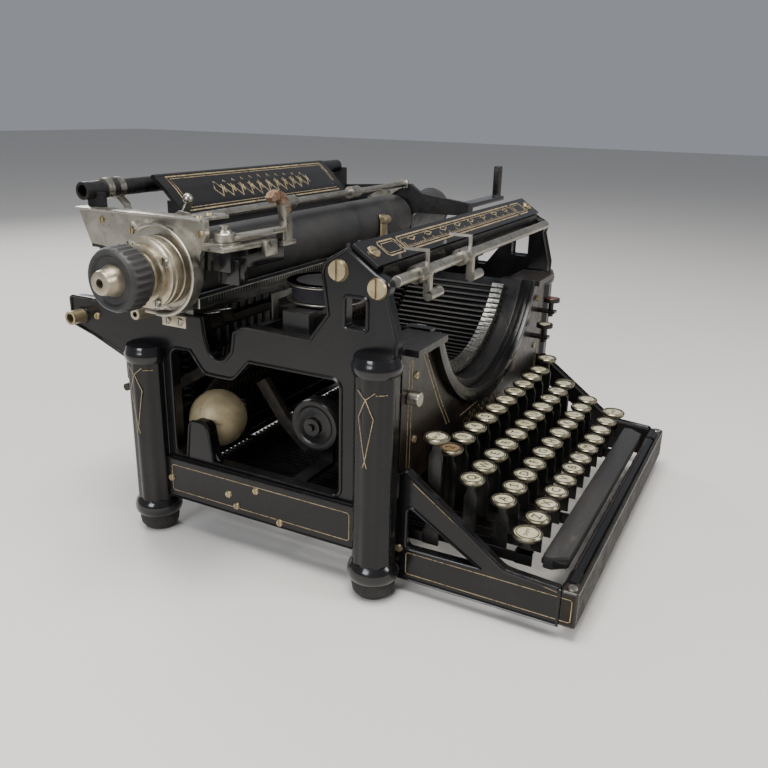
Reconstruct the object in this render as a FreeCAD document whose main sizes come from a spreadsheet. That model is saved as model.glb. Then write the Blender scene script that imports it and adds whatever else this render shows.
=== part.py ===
import FreeCAD
import Part
import Sketcher
import math
import os

# Desk typewriter with a front-strike type basket, built in millimetres.
# +X is the operator's right, -Y is the keyboard side, +Z is up.
# The origin is the centre of the four feet, on the table.

doc = FreeCAD.newDocument("typewriter")
sheet = doc.addObject("Spreadsheet::Sheet", "sizes")
sheet_row = 0


class Size:
    """A length that carries its number and its formula on the sheet."""

    def __init__(self, number, formula):
        self.number = float(number)
        self.formula = formula

    @staticmethod
    def of(value):
        return value if isinstance(value, Size) else Size(value, repr(float(value)))

    def joined(self, other, sign, number):
        return Size(number, "(%s %s %s)" % (self.formula, sign, other.formula))

    def __add__(self, other):
        other = Size.of(other)
        return self.joined(other, "+", self.number + other.number)

    def __radd__(self, other):
        return Size.of(other) + self

    def __sub__(self, other):
        other = Size.of(other)
        return self.joined(other, "-", self.number - other.number)

    def __rsub__(self, other):
        return Size.of(other) - self

    def __mul__(self, other):
        other = Size.of(other)
        return self.joined(other, "*", self.number * other.number)

    def __rmul__(self, other):
        return Size.of(other) * self

    def __truediv__(self, other):
        other = Size.of(other)
        return self.joined(other, "/", self.number / other.number)

    def __neg__(self):
        return Size(-self.number, "(0 - %s)" % self.formula)


def size(alias, number):
    """Writes one driving dimension in the sheet and returns it."""
    global sheet_row
    sheet_row += 1
    cell = "B%d" % sheet_row
    sheet.set("A%d" % sheet_row, alias)
    sheet.set(cell, repr(float(number)))
    sheet.setAlias(cell, alias)
    return Size(number, "sizes." + alias)


def bind(thing, prop, value):
    """Ties one property of an object to a formula of the sheet."""
    value = Size.of(value)
    thing.setExpression(prop, value.formula)


def place(thing, at):
    for axis, value in zip("xyz", at):
        bind(thing, "Placement.Base." + axis, value)


# ---------------------------------------------------------------- driving dimensions

gap = size("running_gap", 0.05)
skin = size("joint_face_gap", 0.1)

side_in = size("side_frame_inner_face", 132)
post_x = side_in + size("post_outside_frame_face", 9)
post_y = size("post_from_centre", 82)
post_r = size("post_radius", 12)
foot_r = post_r + size("foot_flare", 1)
bead_r = post_r + size("foot_bead_flare", 2)
cap_r = post_r + size("post_cap_flare", 0.6)
deck_z = size("carriage_deck_height", 150)
platen_r = size("platen_radius", 18)
print_z = deck_z + platen_r + size("platen_above_deck", 17)
front_post_top = deck_z - size("front_post_below_deck", 8)
rear_post_top = deck_z - size("rear_post_below_deck", 27)
side_bar_low = deck_z - size("side_bar_depth", 22)
foot_tall = size("foot_height", 12)
bead_tall = size("foot_bead_height", 9)
bolt_r = size("hold_down_hole_radius", 2.5)
bolt_deep = size("hold_down_hole_depth", 24)
cap_tall = size("post_cap_height", 4)

side_thick = size("side_frame_thickness", 8)
rail_low = size("base_rail_bottom", 26)
rail_top = size("base_rail_top", 53)
rail_in = side_in - size("base_rail_inset", 3)
rail_thick = size("base_rail_thickness", 14)
deck_rear = size("rear_arm_end", 148)
plate_top_z = print_z + size("scale_plate_above_print", 18.7)
plate_top_y = size("scale_plate_rear_edge", 64.7)
plate_wide = size("scale_plate_width", 18.4)
plate_slope = size("scale_plate_slope", 34)
plate_thick = size("scale_plate_thickness", 3)
plate_half = side_in + size("scale_plate_overhang", 6)

panel_y = post_y + size("front_panel_before_posts", 10)
panel_thick = size("front_panel_thickness", 4)
panel_half = post_x - post_r + size("front_panel_past_post_edge", 1.5)
panel_top = deck_z - size("front_panel_below_deck", 2)
panel_low = size("front_panel_bottom", 62)
rim_wall = size("basket_rim_wall", 7)
rim_deep = size("basket_rim_depth", 13)

print_y = size("print_line_position", 16)
platen_y = print_y + platen_r
bar_long = size("typebar_length", 86)
shoulder_in = bar_long + size("shoulder_outside_typebars", 2)
shoulder_out = panel_half - size("shoulder_inset", 3)
guide_half = bar_long + size("ribbon_guide_past_typebars", 16)
guide_low = print_z - size("ribbon_guide_below_print", 25)
bar_pivot_y = size("typebar_pivot", 10)
bar_thick = size("typebar_thickness", 1.4)
bar_deep = size("typebar_depth", 3)
bar_step = size("typebar_angle_step", 3.02)
slug_long = size("type_slug_length", 9)
slug_wide = size("type_slug_width", 3)
slug_tall = size("type_slug_height", 3.5)
slot_wide = size("segment_slot_width", 2.3)
basket_gap = size("basket_gap", 8.5)
segment_wall = size("segment_wall", 15)
segment_thick = size("segment_thickness", 16)
rest_gap = size("type_rest_gap", 0.7)
bar_pin_r = size("typebar_pin_radius", 0.6)

key_pitch = size("key_pitch", 19.05)
key_first = key_pitch * size("second_row_start_in_pitches", 5.905512)
key_r = size("key_radius", 7.6)
key_tall = size("key_height", 3.6)
lever_thick = size("key_lever_thickness", 1.3)
lever_deep = size("key_lever_depth", 7)
lever_z = size("key_lever_height", 30)
stem_wide = size("key_stem_width", 8)
row_first_y = size("number_row_from_centre", 111.4)
row_first_z = size("number_row_height", 85.5)
row_step_y = size("row_spacing", 17.8)
row_step_z = size("row_drop", 11)
fulcrum_y = size("fulcrum_from_centre", 62)
fulcrum_r = size("fulcrum_radius", 2.5)
lever_tail = size("key_lever_tail", 6)

board_x = side_in - size("bracket_inset", 0.4)
board_thick = size("keyboard_side_thickness", 6)
board_rear = post_y + size("bracket_before_posts", 7.7)
board_front = size("keyboard_frame_front", 199.6)
board_low = size("keyboard_frame_bottom", 9)
board_bar = size("keyboard_bar_height", 22)
board_peak = size("keyboard_side_peak", 78)
board_kink = size("keyboard_side_kink", 158)
board_kink_z = size("keyboard_side_kink_height", 33)
front_bar_deep = size("front_bar_depth", 10)

carriage_x = size("carriage_offset", -29)
platen_half = size("platen_half_length", 130)
shaft_r = size("platen_shaft_radius", 4)
plate_steel = size("carriage_plate_thickness", 4)

rear_tube_r = size("rear_tube_radius", 4.5)
rear_tube_wall = size("rear_tube_wall", 1.5)
rear_tube_over = size("rear_tube_past_post", 10)
rear_tube_y = size("rear_tube_from_centre", 137)
rear_tube_z = deck_z - size("rear_tube_below_deck", 12)
beam_y = size("rear_beam_position", 104)
beam_thick = size("rear_beam_thickness", 7)
beam_low = size("rear_beam_bottom", 96)
tie_low = size("tie_bar_bottom", 40)
tie_tall = size("tie_bar_height", 10)
tie_thick = size("tie_bar_thickness", 8)
fulcrum_z = size("fulcrum_height", 33.5)
margin_y = size("margin_rod_from_centre", 87.5)
margin_z = print_z
margin_r = size("margin_rod_radius", 3.2)
bars_each_side = 20
guide_y = size("ribbon_guide_position", 12.7)
segment_foot_drop = size("segment_foot_below_print", 42)
spool_y = size("spool_from_centre", 24)
spool_x = side_in - size("spool_inside_frame", 34)
spool_low = print_z - size("spool_below_print", 24)
spool_r = size("spool_radius", 24)
spool_tall = size("spool_height", 12)
spool_pin_r = size("spool_pin_radius", 2.5)
bell_r = size("bell_radius", 19)
bell_x = side_in - size("bell_inside_frame", 20)
bell_y = size("bell_from_centre", 52)
bell_z = size("bell_height", 73.5)
bell_wall = size("bell_wall", 1.5)
bell_mouth = size("bell_mouth_inside_rim", 8)
bell_stem_r = size("bell_stem_radius", 2)
hammer_out = size("hammer_post_outside_bell", 9)
hammer_thick = size("hammer_post_thickness", 2)
hammer_half = size("hammer_post_half_width", 3)
hammer_over = size("hammer_post_above_stem", 4)
foot_half = size("bracket_foot_half_width", 4)
foot_thick = size("bracket_foot_thickness", 3)
drum_r = size("drum_radius", 17)
drum_wide = size("drum_width", 10)
drum_x = side_in - size("drum_inside_frame", 24)
drum_y = size("drum_from_centre", -21)
drum_z = size("drum_height", 81.5)
drum_pin_r = size("drum_pin_radius", 2)
drum_hub_r = size("drum_hub_radius", 6)
drum_hub_out = size("drum_hub_stand_out", 4)
strut_gap = size("drum_strut_from_drum", 4)
strut_thick = size("drum_strut_thickness", 3)
strut_half = size("drum_strut_half_width", 5)
strut_foot = size("drum_foot_below_rail_top", 4)
rail_front_y = size("front_rail_position", 44)
rail_rear_y = size("rear_rail_position", 84)
rail_wide = size("rail_width", 6)
rail_tall = size("rail_height", 6)
big_screw_r = size("brass_screw_radius", 6.2)
big_screw_tall = size("brass_screw_height", 2.6)
small_screw_r = size("small_screw_radius", 2.3)
small_screw_tall = size("small_screw_height", 1)
rail_screw_spots = tuple(
    (size("rail_screw%d_from_centre" % i, y), size("rail_screw%d_height" % i, z))
    for i, (y, z) in enumerate(((67, 39), (20.7, 38.6), (14.8, 31.7), (-0.5, 46), (-17.8, 28.8)))
)
bracket_screw_z = size("bracket_screw_height", 28)
bracket_screw_back = size("bracket_screw_behind_edge", 4)
panel_screw_x = size("panel_screw_from_middle", 113)
panel_screw_low = size("panel_screw_low_height", 90)
panel_screw_high = size("panel_screw_high_height", 129)
upright_screw_drop = size("upright_screw_forward", 7.5)
upright_screw_rise = size("upright_screw_above_print", 4)
upright_screw_fall = size("upright_screw_below_print", 3)
lug_wide = size("panel_lug_width", 5)
lug_deep = size("panel_lug_depth", 7.5)
lug_rear = size("panel_lug_rear", -62)
lug_z = size("panel_lug_height", 100)
lug_tall = size("panel_lug_length", 12)
panel_key_out = size("panel_key_stand_off", 10)
panel_key_drop = size("panel_key_stalk", 9)
panel_key_r = size("panel_key_radius", 6.5)
stalk_r = size("panel_key_stalk_radius", 2)
red_key_x = size("red_key_from_middle", 120)
red_key_z = size("red_key_height", 126)
nickel_key_x = size("nickel_key_from_middle", 106)
nickel_key_z = size("nickel_key_height", 108)
panel_key_spots = (
    ("red_panel_key", red_key_x, red_key_z),
    ("nickel_panel_key", nickel_key_x, nickel_key_z),
)
bell_stem_long = size("bell_stem_length", 47)
bail_pivot_y = platen_y + size("bail_pivot_behind_platen", 21)
bail_pivot_z = print_z + size("bail_pivot_above_platen", 11)
bail_pin_r = size("bail_pin_radius", 2)
shift_pin_r = size("shift_pin_radius", 3)
shift_pin_in = size("shift_pin_from_plate", 24)
shift_block = size("shift_block_width", 14)
ear_y = size("release_ear_position", -28)
release_pin_r = size("release_pin_radius", 1.2)
release_wide = size("release_arm_width", 12)
margin_stop_left = size("left_stop_from_middle", 103)
margin_stop_right = size("right_stop_from_middle", 40)
stop_long = size("margin_stop_length", 14)
glide = size("sliding_clearance", 0.4)
truck_half = size("truck_half_length", 118)
left_reach = size("left_plate_reach", 143)
right_reach = size("right_plate_reach", 133)
strip_y = size("scale_strip_position", 14.6)
table_tube_r = size("carriage_tube_radius", 5)
high_tube_long = size("high_tube_length", 276)
feed_r = size("feed_roller_radius", 3.5)
feed_gap = size("feed_roller_gap", 0.9)
table_long = size("paper_table_length", 190)
table_left = size("paper_table_left", 99)
bail_r = size("bail_rod_radius", 2.2)
lever_reach = size("line_space_lever_reach", 50)
lever_pin_r = size("lever_pin_radius", 2.5)
release_long = size("release_arm_length", 92)
knob_reach = size("left_shaft_reach", 41)
shaft_long = size("platen_shaft_length", 398)
ratchet_r = size("ratchet_radius", 15)
hub_r = size("hub_radius", 19)
knob_r = size("knob_radius", 17)
right_knob_long = size("right_knob_length", 64)
shift_x = size("left_shift_from_middle", 115.5)
right_shift_x = size("right_shift_from_middle", 99)
shift_y = size("shift_from_centre", 164.6)
shift_z = size("shift_height", 51)
shift_r = size("shift_radius", 8.8)
back_x = size("back_space_from_middle", 121.2)
back_y = size("back_space_from_centre", 110)
back_z = size("back_space_height", 99)
margin_key_x = size("margin_release_from_middle", 87.5)
tab_x = size("tabulator_from_middle", 106.6)
tab_y = size("tabulator_from_centre", 123)
tab_z = size("tabulator_height", 66)
space_left = size("space_bar_left", 112)
space_right = size("space_bar_right", 104)
space_y = size("space_bar_from_centre", 180)
space_deep = size("space_bar_width", 14)
space_z = size("space_bar_height", 32)
space_tall = size("space_bar_thickness", 3)


# ---------------------------------------------------------------- small builders


def box(name, low, high):
    """A block between two corners."""
    block = doc.addObject("Part::Box", name)
    for prop, a, b in zip(("Length", "Width", "Height"), low, high):
        bind(block, prop, Size.of(b) - a)
    place(block, low)
    return block


def rod(name, radius, start, long, axis):
    """A round bar from a point, along +X, +Y or +Z."""
    bar = doc.addObject("Part::Cylinder", name)
    bind(bar, "Radius", radius)
    bind(bar, "Height", long)
    turns = {
        "x": FreeCAD.Rotation(FreeCAD.Vector(0, 1, 0), 90),
        "y": FreeCAD.Rotation(FreeCAD.Vector(1, 0, 0), -90),
        "z": FreeCAD.Rotation(),
    }
    bar.Placement = FreeCAD.Placement(FreeCAD.Vector(), turns[axis])
    place(bar, start)
    return bar


def cone(name, r_start, r_end, start, long, axis):
    """A tapered round bar along +X or +Z."""
    taper = doc.addObject("Part::Cone", name)
    bind(taper, "Radius1", r_start)
    bind(taper, "Radius2", r_end)
    bind(taper, "Height", long)
    if axis == "x":
        taper.Placement = FreeCAD.Placement(
            FreeCAD.Vector(), FreeCAD.Rotation(FreeCAD.Vector(0, 1, 0), 90)
        )
    place(taper, start)
    return taper


def ball(name, radius, centre):
    """A sphere with its poles on the X axis."""
    sphere = doc.addObject("Part::Sphere", name)
    bind(sphere, "Radius", radius)
    sphere.Placement = FreeCAD.Placement(
        FreeCAD.Vector(), FreeCAD.Rotation(FreeCAD.Vector(0, 1, 0), 90)
    )
    place(sphere, centre)
    return sphere


def cut(name, base, tool):
    result = doc.addObject("Part::Cut", name)
    result.Base = base
    result.Tool = tool
    return result


def fuse(name, pieces):
    result = doc.addObject("Part::MultiFuse", name)
    result.Shapes = pieces
    result.Refine = True
    return result


def group(name, pieces):
    """Separate solids kept in one sub-part."""
    result = doc.addObject("Part::Compound", name)
    result.Links = pieces
    return result


def mirror(name, source):
    """The same piece on the other side of the middle plane."""
    result = doc.addObject("Part::Mirroring", name)
    result.Source = source
    result.Normal = FreeCAD.Vector(1, 0, 0)
    return result


PLANES = {"xy": "XY_Plane", "xz": "XZ_Plane", "yz": "YZ_Plane"}


def outline(sketch, points):
    """Draws one closed loop of straight sides, each corner tied to the sheet."""
    start = sketch.GeometryCount
    spots = [(Size.of(p[0]), Size.of(p[1])) for p in points]
    count = len(spots)
    for i, (u, v) in enumerate(spots):
        nu, nv = spots[(i + 1) % count]
        a = FreeCAD.Vector(u.number, v.number, 0)
        b = FreeCAD.Vector(nu.number, nv.number, 0)
        sketch.addGeometry(Part.LineSegment(a, b), False)
    for i in range(count):
        after = start + (i + 1) % count
        sketch.addConstraint(Sketcher.Constraint("Coincident", start + i, 2, after, 1))
    for i, (u, v) in enumerate(spots):
        for kind, value in (("DistanceX", u), ("DistanceY", v)):
            rule = Sketcher.Constraint(kind, -1, 1, start + i, 1, value.number)
            index = sketch.addConstraint(rule)
            sketch.setExpression("Constraints[%d]" % index, value.formula)


def plate(name, plane, loops, thick, at, radii=()):
    """A flat piece: a sketch of closed loops, padded, with rounded corners."""
    body = doc.addObject("PartDesign::Body", name)
    sketch = body.newObject("Sketcher::SketchObject", name + "_sketch")
    role = PLANES[plane]
    face = [f for f in body.Origin.OriginFeatures if f.Role == role][0]
    sketch.AttachmentSupport = (face, [""])
    sketch.MapMode = "FlatFace"
    for loop in loops:
        outline(sketch, loop)
    pad = body.newObject("PartDesign::Pad", name + "_pad")
    pad.Profile = sketch
    bind(pad, "Length", thick)
    if plane == "xz":
        pad.Reversed = True
    doc.recompute()
    axis = {"xy": 2, "xz": 1, "yz": 0}[plane]
    flat = [i for i in range(3) if i != axis]
    last = pad
    for order, (radius, spots) in enumerate(radii):
        edges = []
        for spot in spots:
            u, v = (Size.of(s).number for s in spot)
            for index, edge in enumerate(body.Shape.Edges):
                a = edge.Vertexes[0].Point
                b = edge.Vertexes[-1].Point
                along = abs(a[axis] - b[axis]) > 0.01
                near = all(
                    abs(p[flat[0]] - u) < 0.01 and abs(p[flat[1]] - v) < 0.01
                    for p in (a, b)
                )
                if along and near:
                    edges.append("Edge%d" % (index + 1))
        rounding = body.newObject("PartDesign::Fillet", "%s_round%d" % (name, order))
        rounding.Base = (last, edges)
        bind(rounding, "Radius", radius)
        doc.recompute()
        last = rounding
    place(body, at)
    return body


def half_ring(name, r_in, r_out, low_y, thick, top):
    """The part of a ring about the print axis that lies below a height."""
    outer = rod(name + "_outer", r_out, (0, low_y, print_z), thick, "y")
    inner = rod(name + "_inner", r_in, (0, low_y - 1, print_z), Size.of(thick) + 2, "y")
    ring = cut(name + "_ring", outer, inner)
    keep = box(name + "_keep", (-r_out - 1, low_y - 1, 0), (r_out + 1, low_y + thick + 1, top))
    common = doc.addObject("Part::Common", name)
    common.Base = ring
    common.Tool = keep
    return common


def around_print_axis(name, piece, steps):
    """Turns a piece made at the print axis by a number of typebar steps."""
    turned = group(name, [piece])
    turned.Placement = FreeCAD.Placement(
        FreeCAD.Vector(), FreeCAD.Rotation(FreeCAD.Vector(0, 1, 0), 1)
    )
    turned.setExpression("Placement.Rotation.Angle", "%d * %s" % (steps, bar_step.formula))
    place(turned, (0, 0, print_z))
    return turned


# ---------------------------------------------------------------- side frames


def side_frame():
    """Cast side: plate with its openings, two posts, base rail, foot beads and caps."""
    top_rear = (-plate_top_y + 2, plate_top_z - 3)
    top_front = (-plate_top_y - 15, plate_top_z - 14.8)
    edge = [
        (post_y, rail_low + 2),
        (-post_y, rail_low + 2),
        (-post_y, front_post_top),
        (-post_y - 10.5, front_post_top + 2),
        (-post_y - 10.5, deck_z + 5),
        (-post_y - 4, deck_z + 28),
        (-post_y - 6, deck_z + 35),
        top_front,
        top_rear,
        (-plate_top_y + 18, print_z + 6),
        (-plate_top_y + 16, print_z - 6),
        (-plate_top_y + 14, deck_z + 14),
        (-plate_top_y + 26, deck_z - 2),
        (6, deck_z - 1),
        (14, deck_z - 6),
        (16, deck_z - 18),
        (22, deck_z - 25),
        (32, deck_z - 25),
        (36, deck_z - 14),
        (38, deck_z),
        (deck_rear, deck_z),
        (deck_rear, deck_z - 18),
        (deck_rear - 20, deck_z - 24),
        (post_y + 16, deck_z - 36),
        (post_y + 9, rear_post_top - 14),
        (post_y, rear_post_top - 20),
    ]
    opening = [
        (post_y - 18, rail_top + 2),
        (post_y - 27, rail_top + 3),
        (post_y - 30, rail_top + 28),
        (post_y - 44, rail_top + 28),
        (post_y - 48, rail_top + 3),
        (-post_y + 23, rail_top + 2),
        (-post_y + 23, side_bar_low),
        (4, side_bar_low),
        (16, side_bar_low - 13),
        (38, side_bar_low - 13),
        (48, side_bar_low),
        (post_y - 18, side_bar_low),
    ]
    window = [
        (-post_y + 7, deck_z + 8),
        (-post_y + 21, deck_z + 8),
        (-post_y + 21, deck_z + 26),
        (-post_y + 7, deck_z + 26),
    ]
    soft = [opening[0], opening[5], opening[6], opening[11]]
    lug = [opening[2], opening[3]]
    web = plate(
        "side_web",
        "yz",
        [edge, opening, window],
        side_thick,
        (side_in, 0, 0),
        [
            (6, soft),
            (5, lug),
            (8, [edge[9], edge[13], edge[16], edge[17], opening[8], opening[9]]),
            (2, window),
            (5, [edge[20], edge[21], edge[6]]),
        ],
    )
    rail = box(
        "side_rail",
        (rail_in, -post_y, rail_low),
        (rail_in + rail_thick, post_y, rail_top),
    )
    pieces = [web, rail]
    tops = {"front": (-post_y, front_post_top), "rear": (post_y, rear_post_top)}
    for end, (y, top) in tops.items():
        shaft = rod(end + "_post", post_r, (post_x, y, foot_tall), top - foot_tall, "z")
        bead = rod(end + "_bead", bead_r, (post_x, y, foot_tall), bead_tall, "z")
        cap = rod(end + "_cap", cap_r, (post_x, y, top), cap_tall, "z")
        pieces += [shaft, bead, cap]
    solid = fuse("side_solid", pieces)
    drills = []
    for end, y in (("front", -post_y), ("rear", post_y)):
        start = (post_x, y, foot_tall - 1)
        drills.append(rod(end + "_drill", bolt_r, start, bolt_deep - foot_tall + 1, "z"))
    tube_hole = rod(
        "tube_hole", rear_tube_r + gap, (side_in - 1, rear_tube_y, rear_tube_z), 40, "x"
    )
    right = cut("right_side_frame", solid, fuse("side_drills", drills + [tube_hole]))
    left = mirror("left_side_frame", right)
    return [left, right]


def rubber_feet():
    feet = []
    for i, (sx, sy) in enumerate(((1, 1), (1, -1), (-1, 1), (-1, -1))):
        at = (post_x * sx, post_y * sy, 0)
        pad = rod("foot_pad%d" % i, foot_r, at, foot_tall, "z")
        hole = rod("foot_hole%d" % i, bolt_r, at, foot_tall, "z")
        feet.append(cut("foot%d" % i, pad, hole))
    return [group("rubber_feet", feet)]


# ---------------------------------------------------------------- body of the machine


def front_panel():
    """Upright front casting with the basket's round mouth, its rim and two shoulders."""
    mouth_r = bar_long + basket_gap
    sheet_metal = box(
        "panel_sheet",
        (-panel_half, -panel_y, panel_low),
        (panel_half, -panel_y + panel_thick, panel_top),
    )
    mouth = rod("panel_mouth", mouth_r, (0, -panel_y - 1, print_z), panel_thick + 2, "y")
    panel = cut("panel_open", sheet_metal, mouth)
    rim = half_ring("panel_rim", mouth_r, mouth_r + rim_wall, -panel_y - 2, rim_deep, panel_top)
    ledges = []
    for side, sign in (("left", -1), ("right", 1)):
        near = shoulder_in * sign
        far = shoulder_out * sign
        low, high = (near, far) if sign > 0 else (far, near)
        ledges.append(
            box(
                side + "_shoulder",
                (low, -panel_y - 8, panel_top - 4),
                (high, -panel_y + 18, panel_top),
            )
        )
    lugs = []
    for side, sign in (("left", -1), ("right", 1)):
        for part, near, far, front in (
            ("arm", side_in - lug_wide * 2, side_in - lug_wide, -panel_y + panel_thick / 2),
            ("pad", side_in - lug_wide, side_in, lug_rear - lug_deep),
        ):
            low, high = (near, far) if sign > 0 else (-far, -near)
            lugs.append(
                box(
                    "%s_lug_%s" % (side, part),
                    (low, front, lug_z),
                    (high, lug_rear, lug_z + lug_tall),
                )
            )
    shelves = []
    holes = []
    for name, x, z in panel_key_spots:
        shelf_z = z - panel_key_drop
        shelves.append(
            box(
                name + "_shelf",
                (x - 4, -panel_y - panel_key_out - 4, shelf_z),
                (x + 4, -panel_y, shelf_z + 2),
            )
        )
        at = (x, -panel_y - panel_key_out, shelf_z - 1)
        holes.append(rod(name + "_shelf_hole", stalk_r + gap, at, 4, "z"))
    solid = fuse("panel_solid", [panel, rim] + ledges + lugs + shelves)
    return [cut("front_panel", solid, fuse("panel_holes", holes))]


def rear_beam():
    """Cross casting between the side frames behind the type action."""
    beam = box(
        "beam_bar", (-side_in, beam_y, beam_low), (side_in, beam_y + beam_thick, deck_z)
    )
    arch = rod("beam_arch", 34, (0, beam_y - 1, beam_low - 12), beam_thick + 2, "y")
    return [cut("rear_beam", beam, arch)]


def base_bars():
    """Front and rear tie bars low between the side frames, and the lever pan."""
    bars = []
    for name, y in (("front", -post_y + 4), ("rear", post_y - 4 - tie_thick)):
        bars.append(
            box(
                name + "_tie",
                (-rail_in, y, tie_low),
                (rail_in, y + tie_thick, tie_low + tie_tall),
            )
        )
    return [group("base_tie_bars", bars)]


def fulcrum():
    ends = rail_in
    pivot = rod("fulcrum_rod", fulcrum_r, (-ends, fulcrum_y, fulcrum_z), ends * 2, "x")
    return [pivot]


def keyboard_frame():
    """Two side brackets with their triangular windows, and the front bar."""
    rear = -board_rear
    bead_top = foot_tall + bead_tall
    edge = [
        (rear, bead_top + 1),
        (rear - 3.5, bead_top + 1),
        (rear - 3.5, board_low),
        (-board_front + front_bar_deep + skin, board_low),
        (-board_front + front_bar_deep + skin, board_low + board_bar),
        (-board_kink, board_kink_z),
        (-panel_y - 5, board_peak),
        (-panel_y, board_peak - 2),
        (-panel_y, panel_low - 1),
        (rear, panel_low - 1),
    ]
    window = [
        (rear - 8, board_low + board_bar - 2),
        (-board_kink + 14, board_low + board_bar - 1),
        (rear - 8, board_peak - 20),
    ]
    sides = []
    for name, x in (("left", -board_x), ("right", board_x - board_thick)):
        label = "keyboard_side_" + name
        sides.append(
            plate(
                label,
                "yz",
                [edge, window],
                board_thick,
                (x, 0, 0),
                [(3, window[:1] + window[2:]), (2, [edge[4], edge[6]]), (12, [edge[5]])],
            )
        )
    bar = box(
        "front_bar_block",
        (-board_x, -board_front, board_low),
        (board_x, -board_front + front_bar_deep, board_low + board_bar),
    )
    groove = box(
        "front_bar_groove",
        (-board_x + 12, -board_front + 3, board_low + board_bar - 4),
        (board_x - 12, -board_front + front_bar_deep - 3, board_low + board_bar + 1),
    )
    return sides + [cut("keyboard_front_bar", bar, groove)]


def scale_plate():
    """Sloping scale cover across the top of the uprights, with its front lip."""
    run = plate_wide
    body = plate(
        "scale_top",
        "yz",
        [[(0, 0), (-run, 0), (-run, -plate_thick), (0, -plate_thick)]],
        plate_half * 2,
        (-plate_half, -plate_top_y, plate_top_z),
    )
    body.Placement.Rotation = FreeCAD.Rotation(FreeCAD.Vector(1, 0, 0), 1)
    body.setExpression("Placement.Rotation.Angle", plate_slope.formula)
    lip_y = -plate_top_y - 15.6
    lip = box(
        "scale_lip",
        (-side_in + skin, lip_y, plate_top_z - 21),
        (side_in - skin, lip_y + 2.4, plate_top_z - 11.5),
    )
    return [fuse("scale_plate", [body, lip])]


def margin_rod():
    at = (-side_in, -margin_y, margin_z)
    return [rod("margin_rod", margin_r, at, side_in * 2, "x")]


def type_segment():
    """Slotted half ring that carries the typebars."""
    ring = half_ring(
        "segment_ring",
        bar_long - segment_wall / 2,
        bar_long + segment_wall,
        bar_pivot_y - segment_thick / 2,
        segment_thick,
        print_z - 34,
    )
    slots = []
    for i in range(-bars_each_side, bars_each_side + 1):
        slot = box(
            "slot_tool%d" % (i + bars_each_side),
            (-slot_wide / 2, bar_pivot_y - segment_thick, -bar_long - 5),
            (slot_wide / 2, bar_pivot_y + segment_thick, -bar_long + segment_wall),
        )
        slots.append(around_print_axis("slot%d" % (i + bars_each_side), slot, i))
    cutter = fuse("segment_slots", slots)
    feet = []
    for sign in (-1, 1):
        near = bar_long - segment_wall / 2
        low, high = (near, side_in) if sign > 0 else (-side_in, -near)
        feet.append(
            box(
                "segment_foot%d" % sign,
                (low, bar_pivot_y + 1, print_z - segment_foot_drop - 14),
                (high, bar_pivot_y + 7, print_z - segment_foot_drop),
            )
        )
    pin = rod(
        "typebar_pin",
        bar_pin_r,
        (-slot_wide, bar_pivot_y, print_z - bar_long),
        slot_wide * 2,
        "x",
    )
    segment = cut("slotted_ring", ring, cutter)
    return [fuse("type_segment", [segment] + feet + [pin])]


def typebar(name, pivot_hole):
    """One typebar with its type slug, lying forward from its pivot."""
    bar = box(
        name + "_bar",
        (-bar_thick / 2, bar_pivot_y - bar_long, -bar_long - bar_deep / 2),
        (bar_thick / 2, bar_pivot_y + bar_deep / 2, -bar_long + bar_deep / 2),
    )
    slug_y = bar_pivot_y - bar_long
    slug = box(
        name + "_slug",
        (-slug_wide / 2, slug_y - 1, -bar_long + bar_deep / 2 - 1),
        (slug_wide / 2, slug_y + slug_long - 1, -bar_long + bar_deep / 2 + slug_tall),
    )
    solid = fuse(name + "_solid", [bar, slug])
    if not pivot_hole:
        return solid
    hole = rod(
        name + "_eye", bar_pin_r + gap, (-slot_wide, bar_pivot_y, -bar_long), slot_wide * 2, "x"
    )
    return cut(name + "_bored", solid, hole)


def typebars():
    fixed = []
    for i in range(-bars_each_side, bars_each_side + 1):
        if i != 0:
            bar = typebar("typebar%d" % (i + bars_each_side), False)
            fixed.append(around_print_axis("turned_bar%d" % (i + bars_each_side), bar, i))
    moving = typebar("centre_bar", True)
    middle = group("centre_typebar", [moving])
    place(middle, (0, 0, print_z))
    return [group("typebars", fixed), middle]


def type_rest():
    """Padded half ring that the typebars lie on."""
    pad = half_ring(
        "type_rest",
        bar_long + bar_deep / 2 + rest_gap,
        bar_long + basket_gap - skin,
        -panel_y + panel_thick,
        16,
        print_z - 36,
    )
    return [pad]


def ribbon_guide():
    """Two-pronged guide that holds the ribbon at the print point."""
    prongs = []
    for sign in (-1, 1):
        low, high = (6, 10) if sign > 0 else (-10, -6)
        prongs.append(
            box(
                "guide_prong%d" % sign,
                (low, guide_y, guide_low),
                (high, guide_y + 1.2, print_z - 6),
            )
        )
    foot = box(
        "guide_foot",
        (-guide_half, guide_y, guide_low - 4),
        (guide_half, guide_y + 1.2, guide_low),
    )
    stalks = []
    for sign in (-1, 1):
        near = guide_half - 6
        low, high = (near, guide_half) if sign > 0 else (-guide_half, -near)
        stalks.append(
            box(
                "guide_stalk%d" % sign,
                (low, guide_y, print_z - segment_foot_drop),
                (high, guide_y + 1.2, guide_low),
            )
        )
    return [fuse("ribbon_guide", prongs + [foot] + stalks)]


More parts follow.
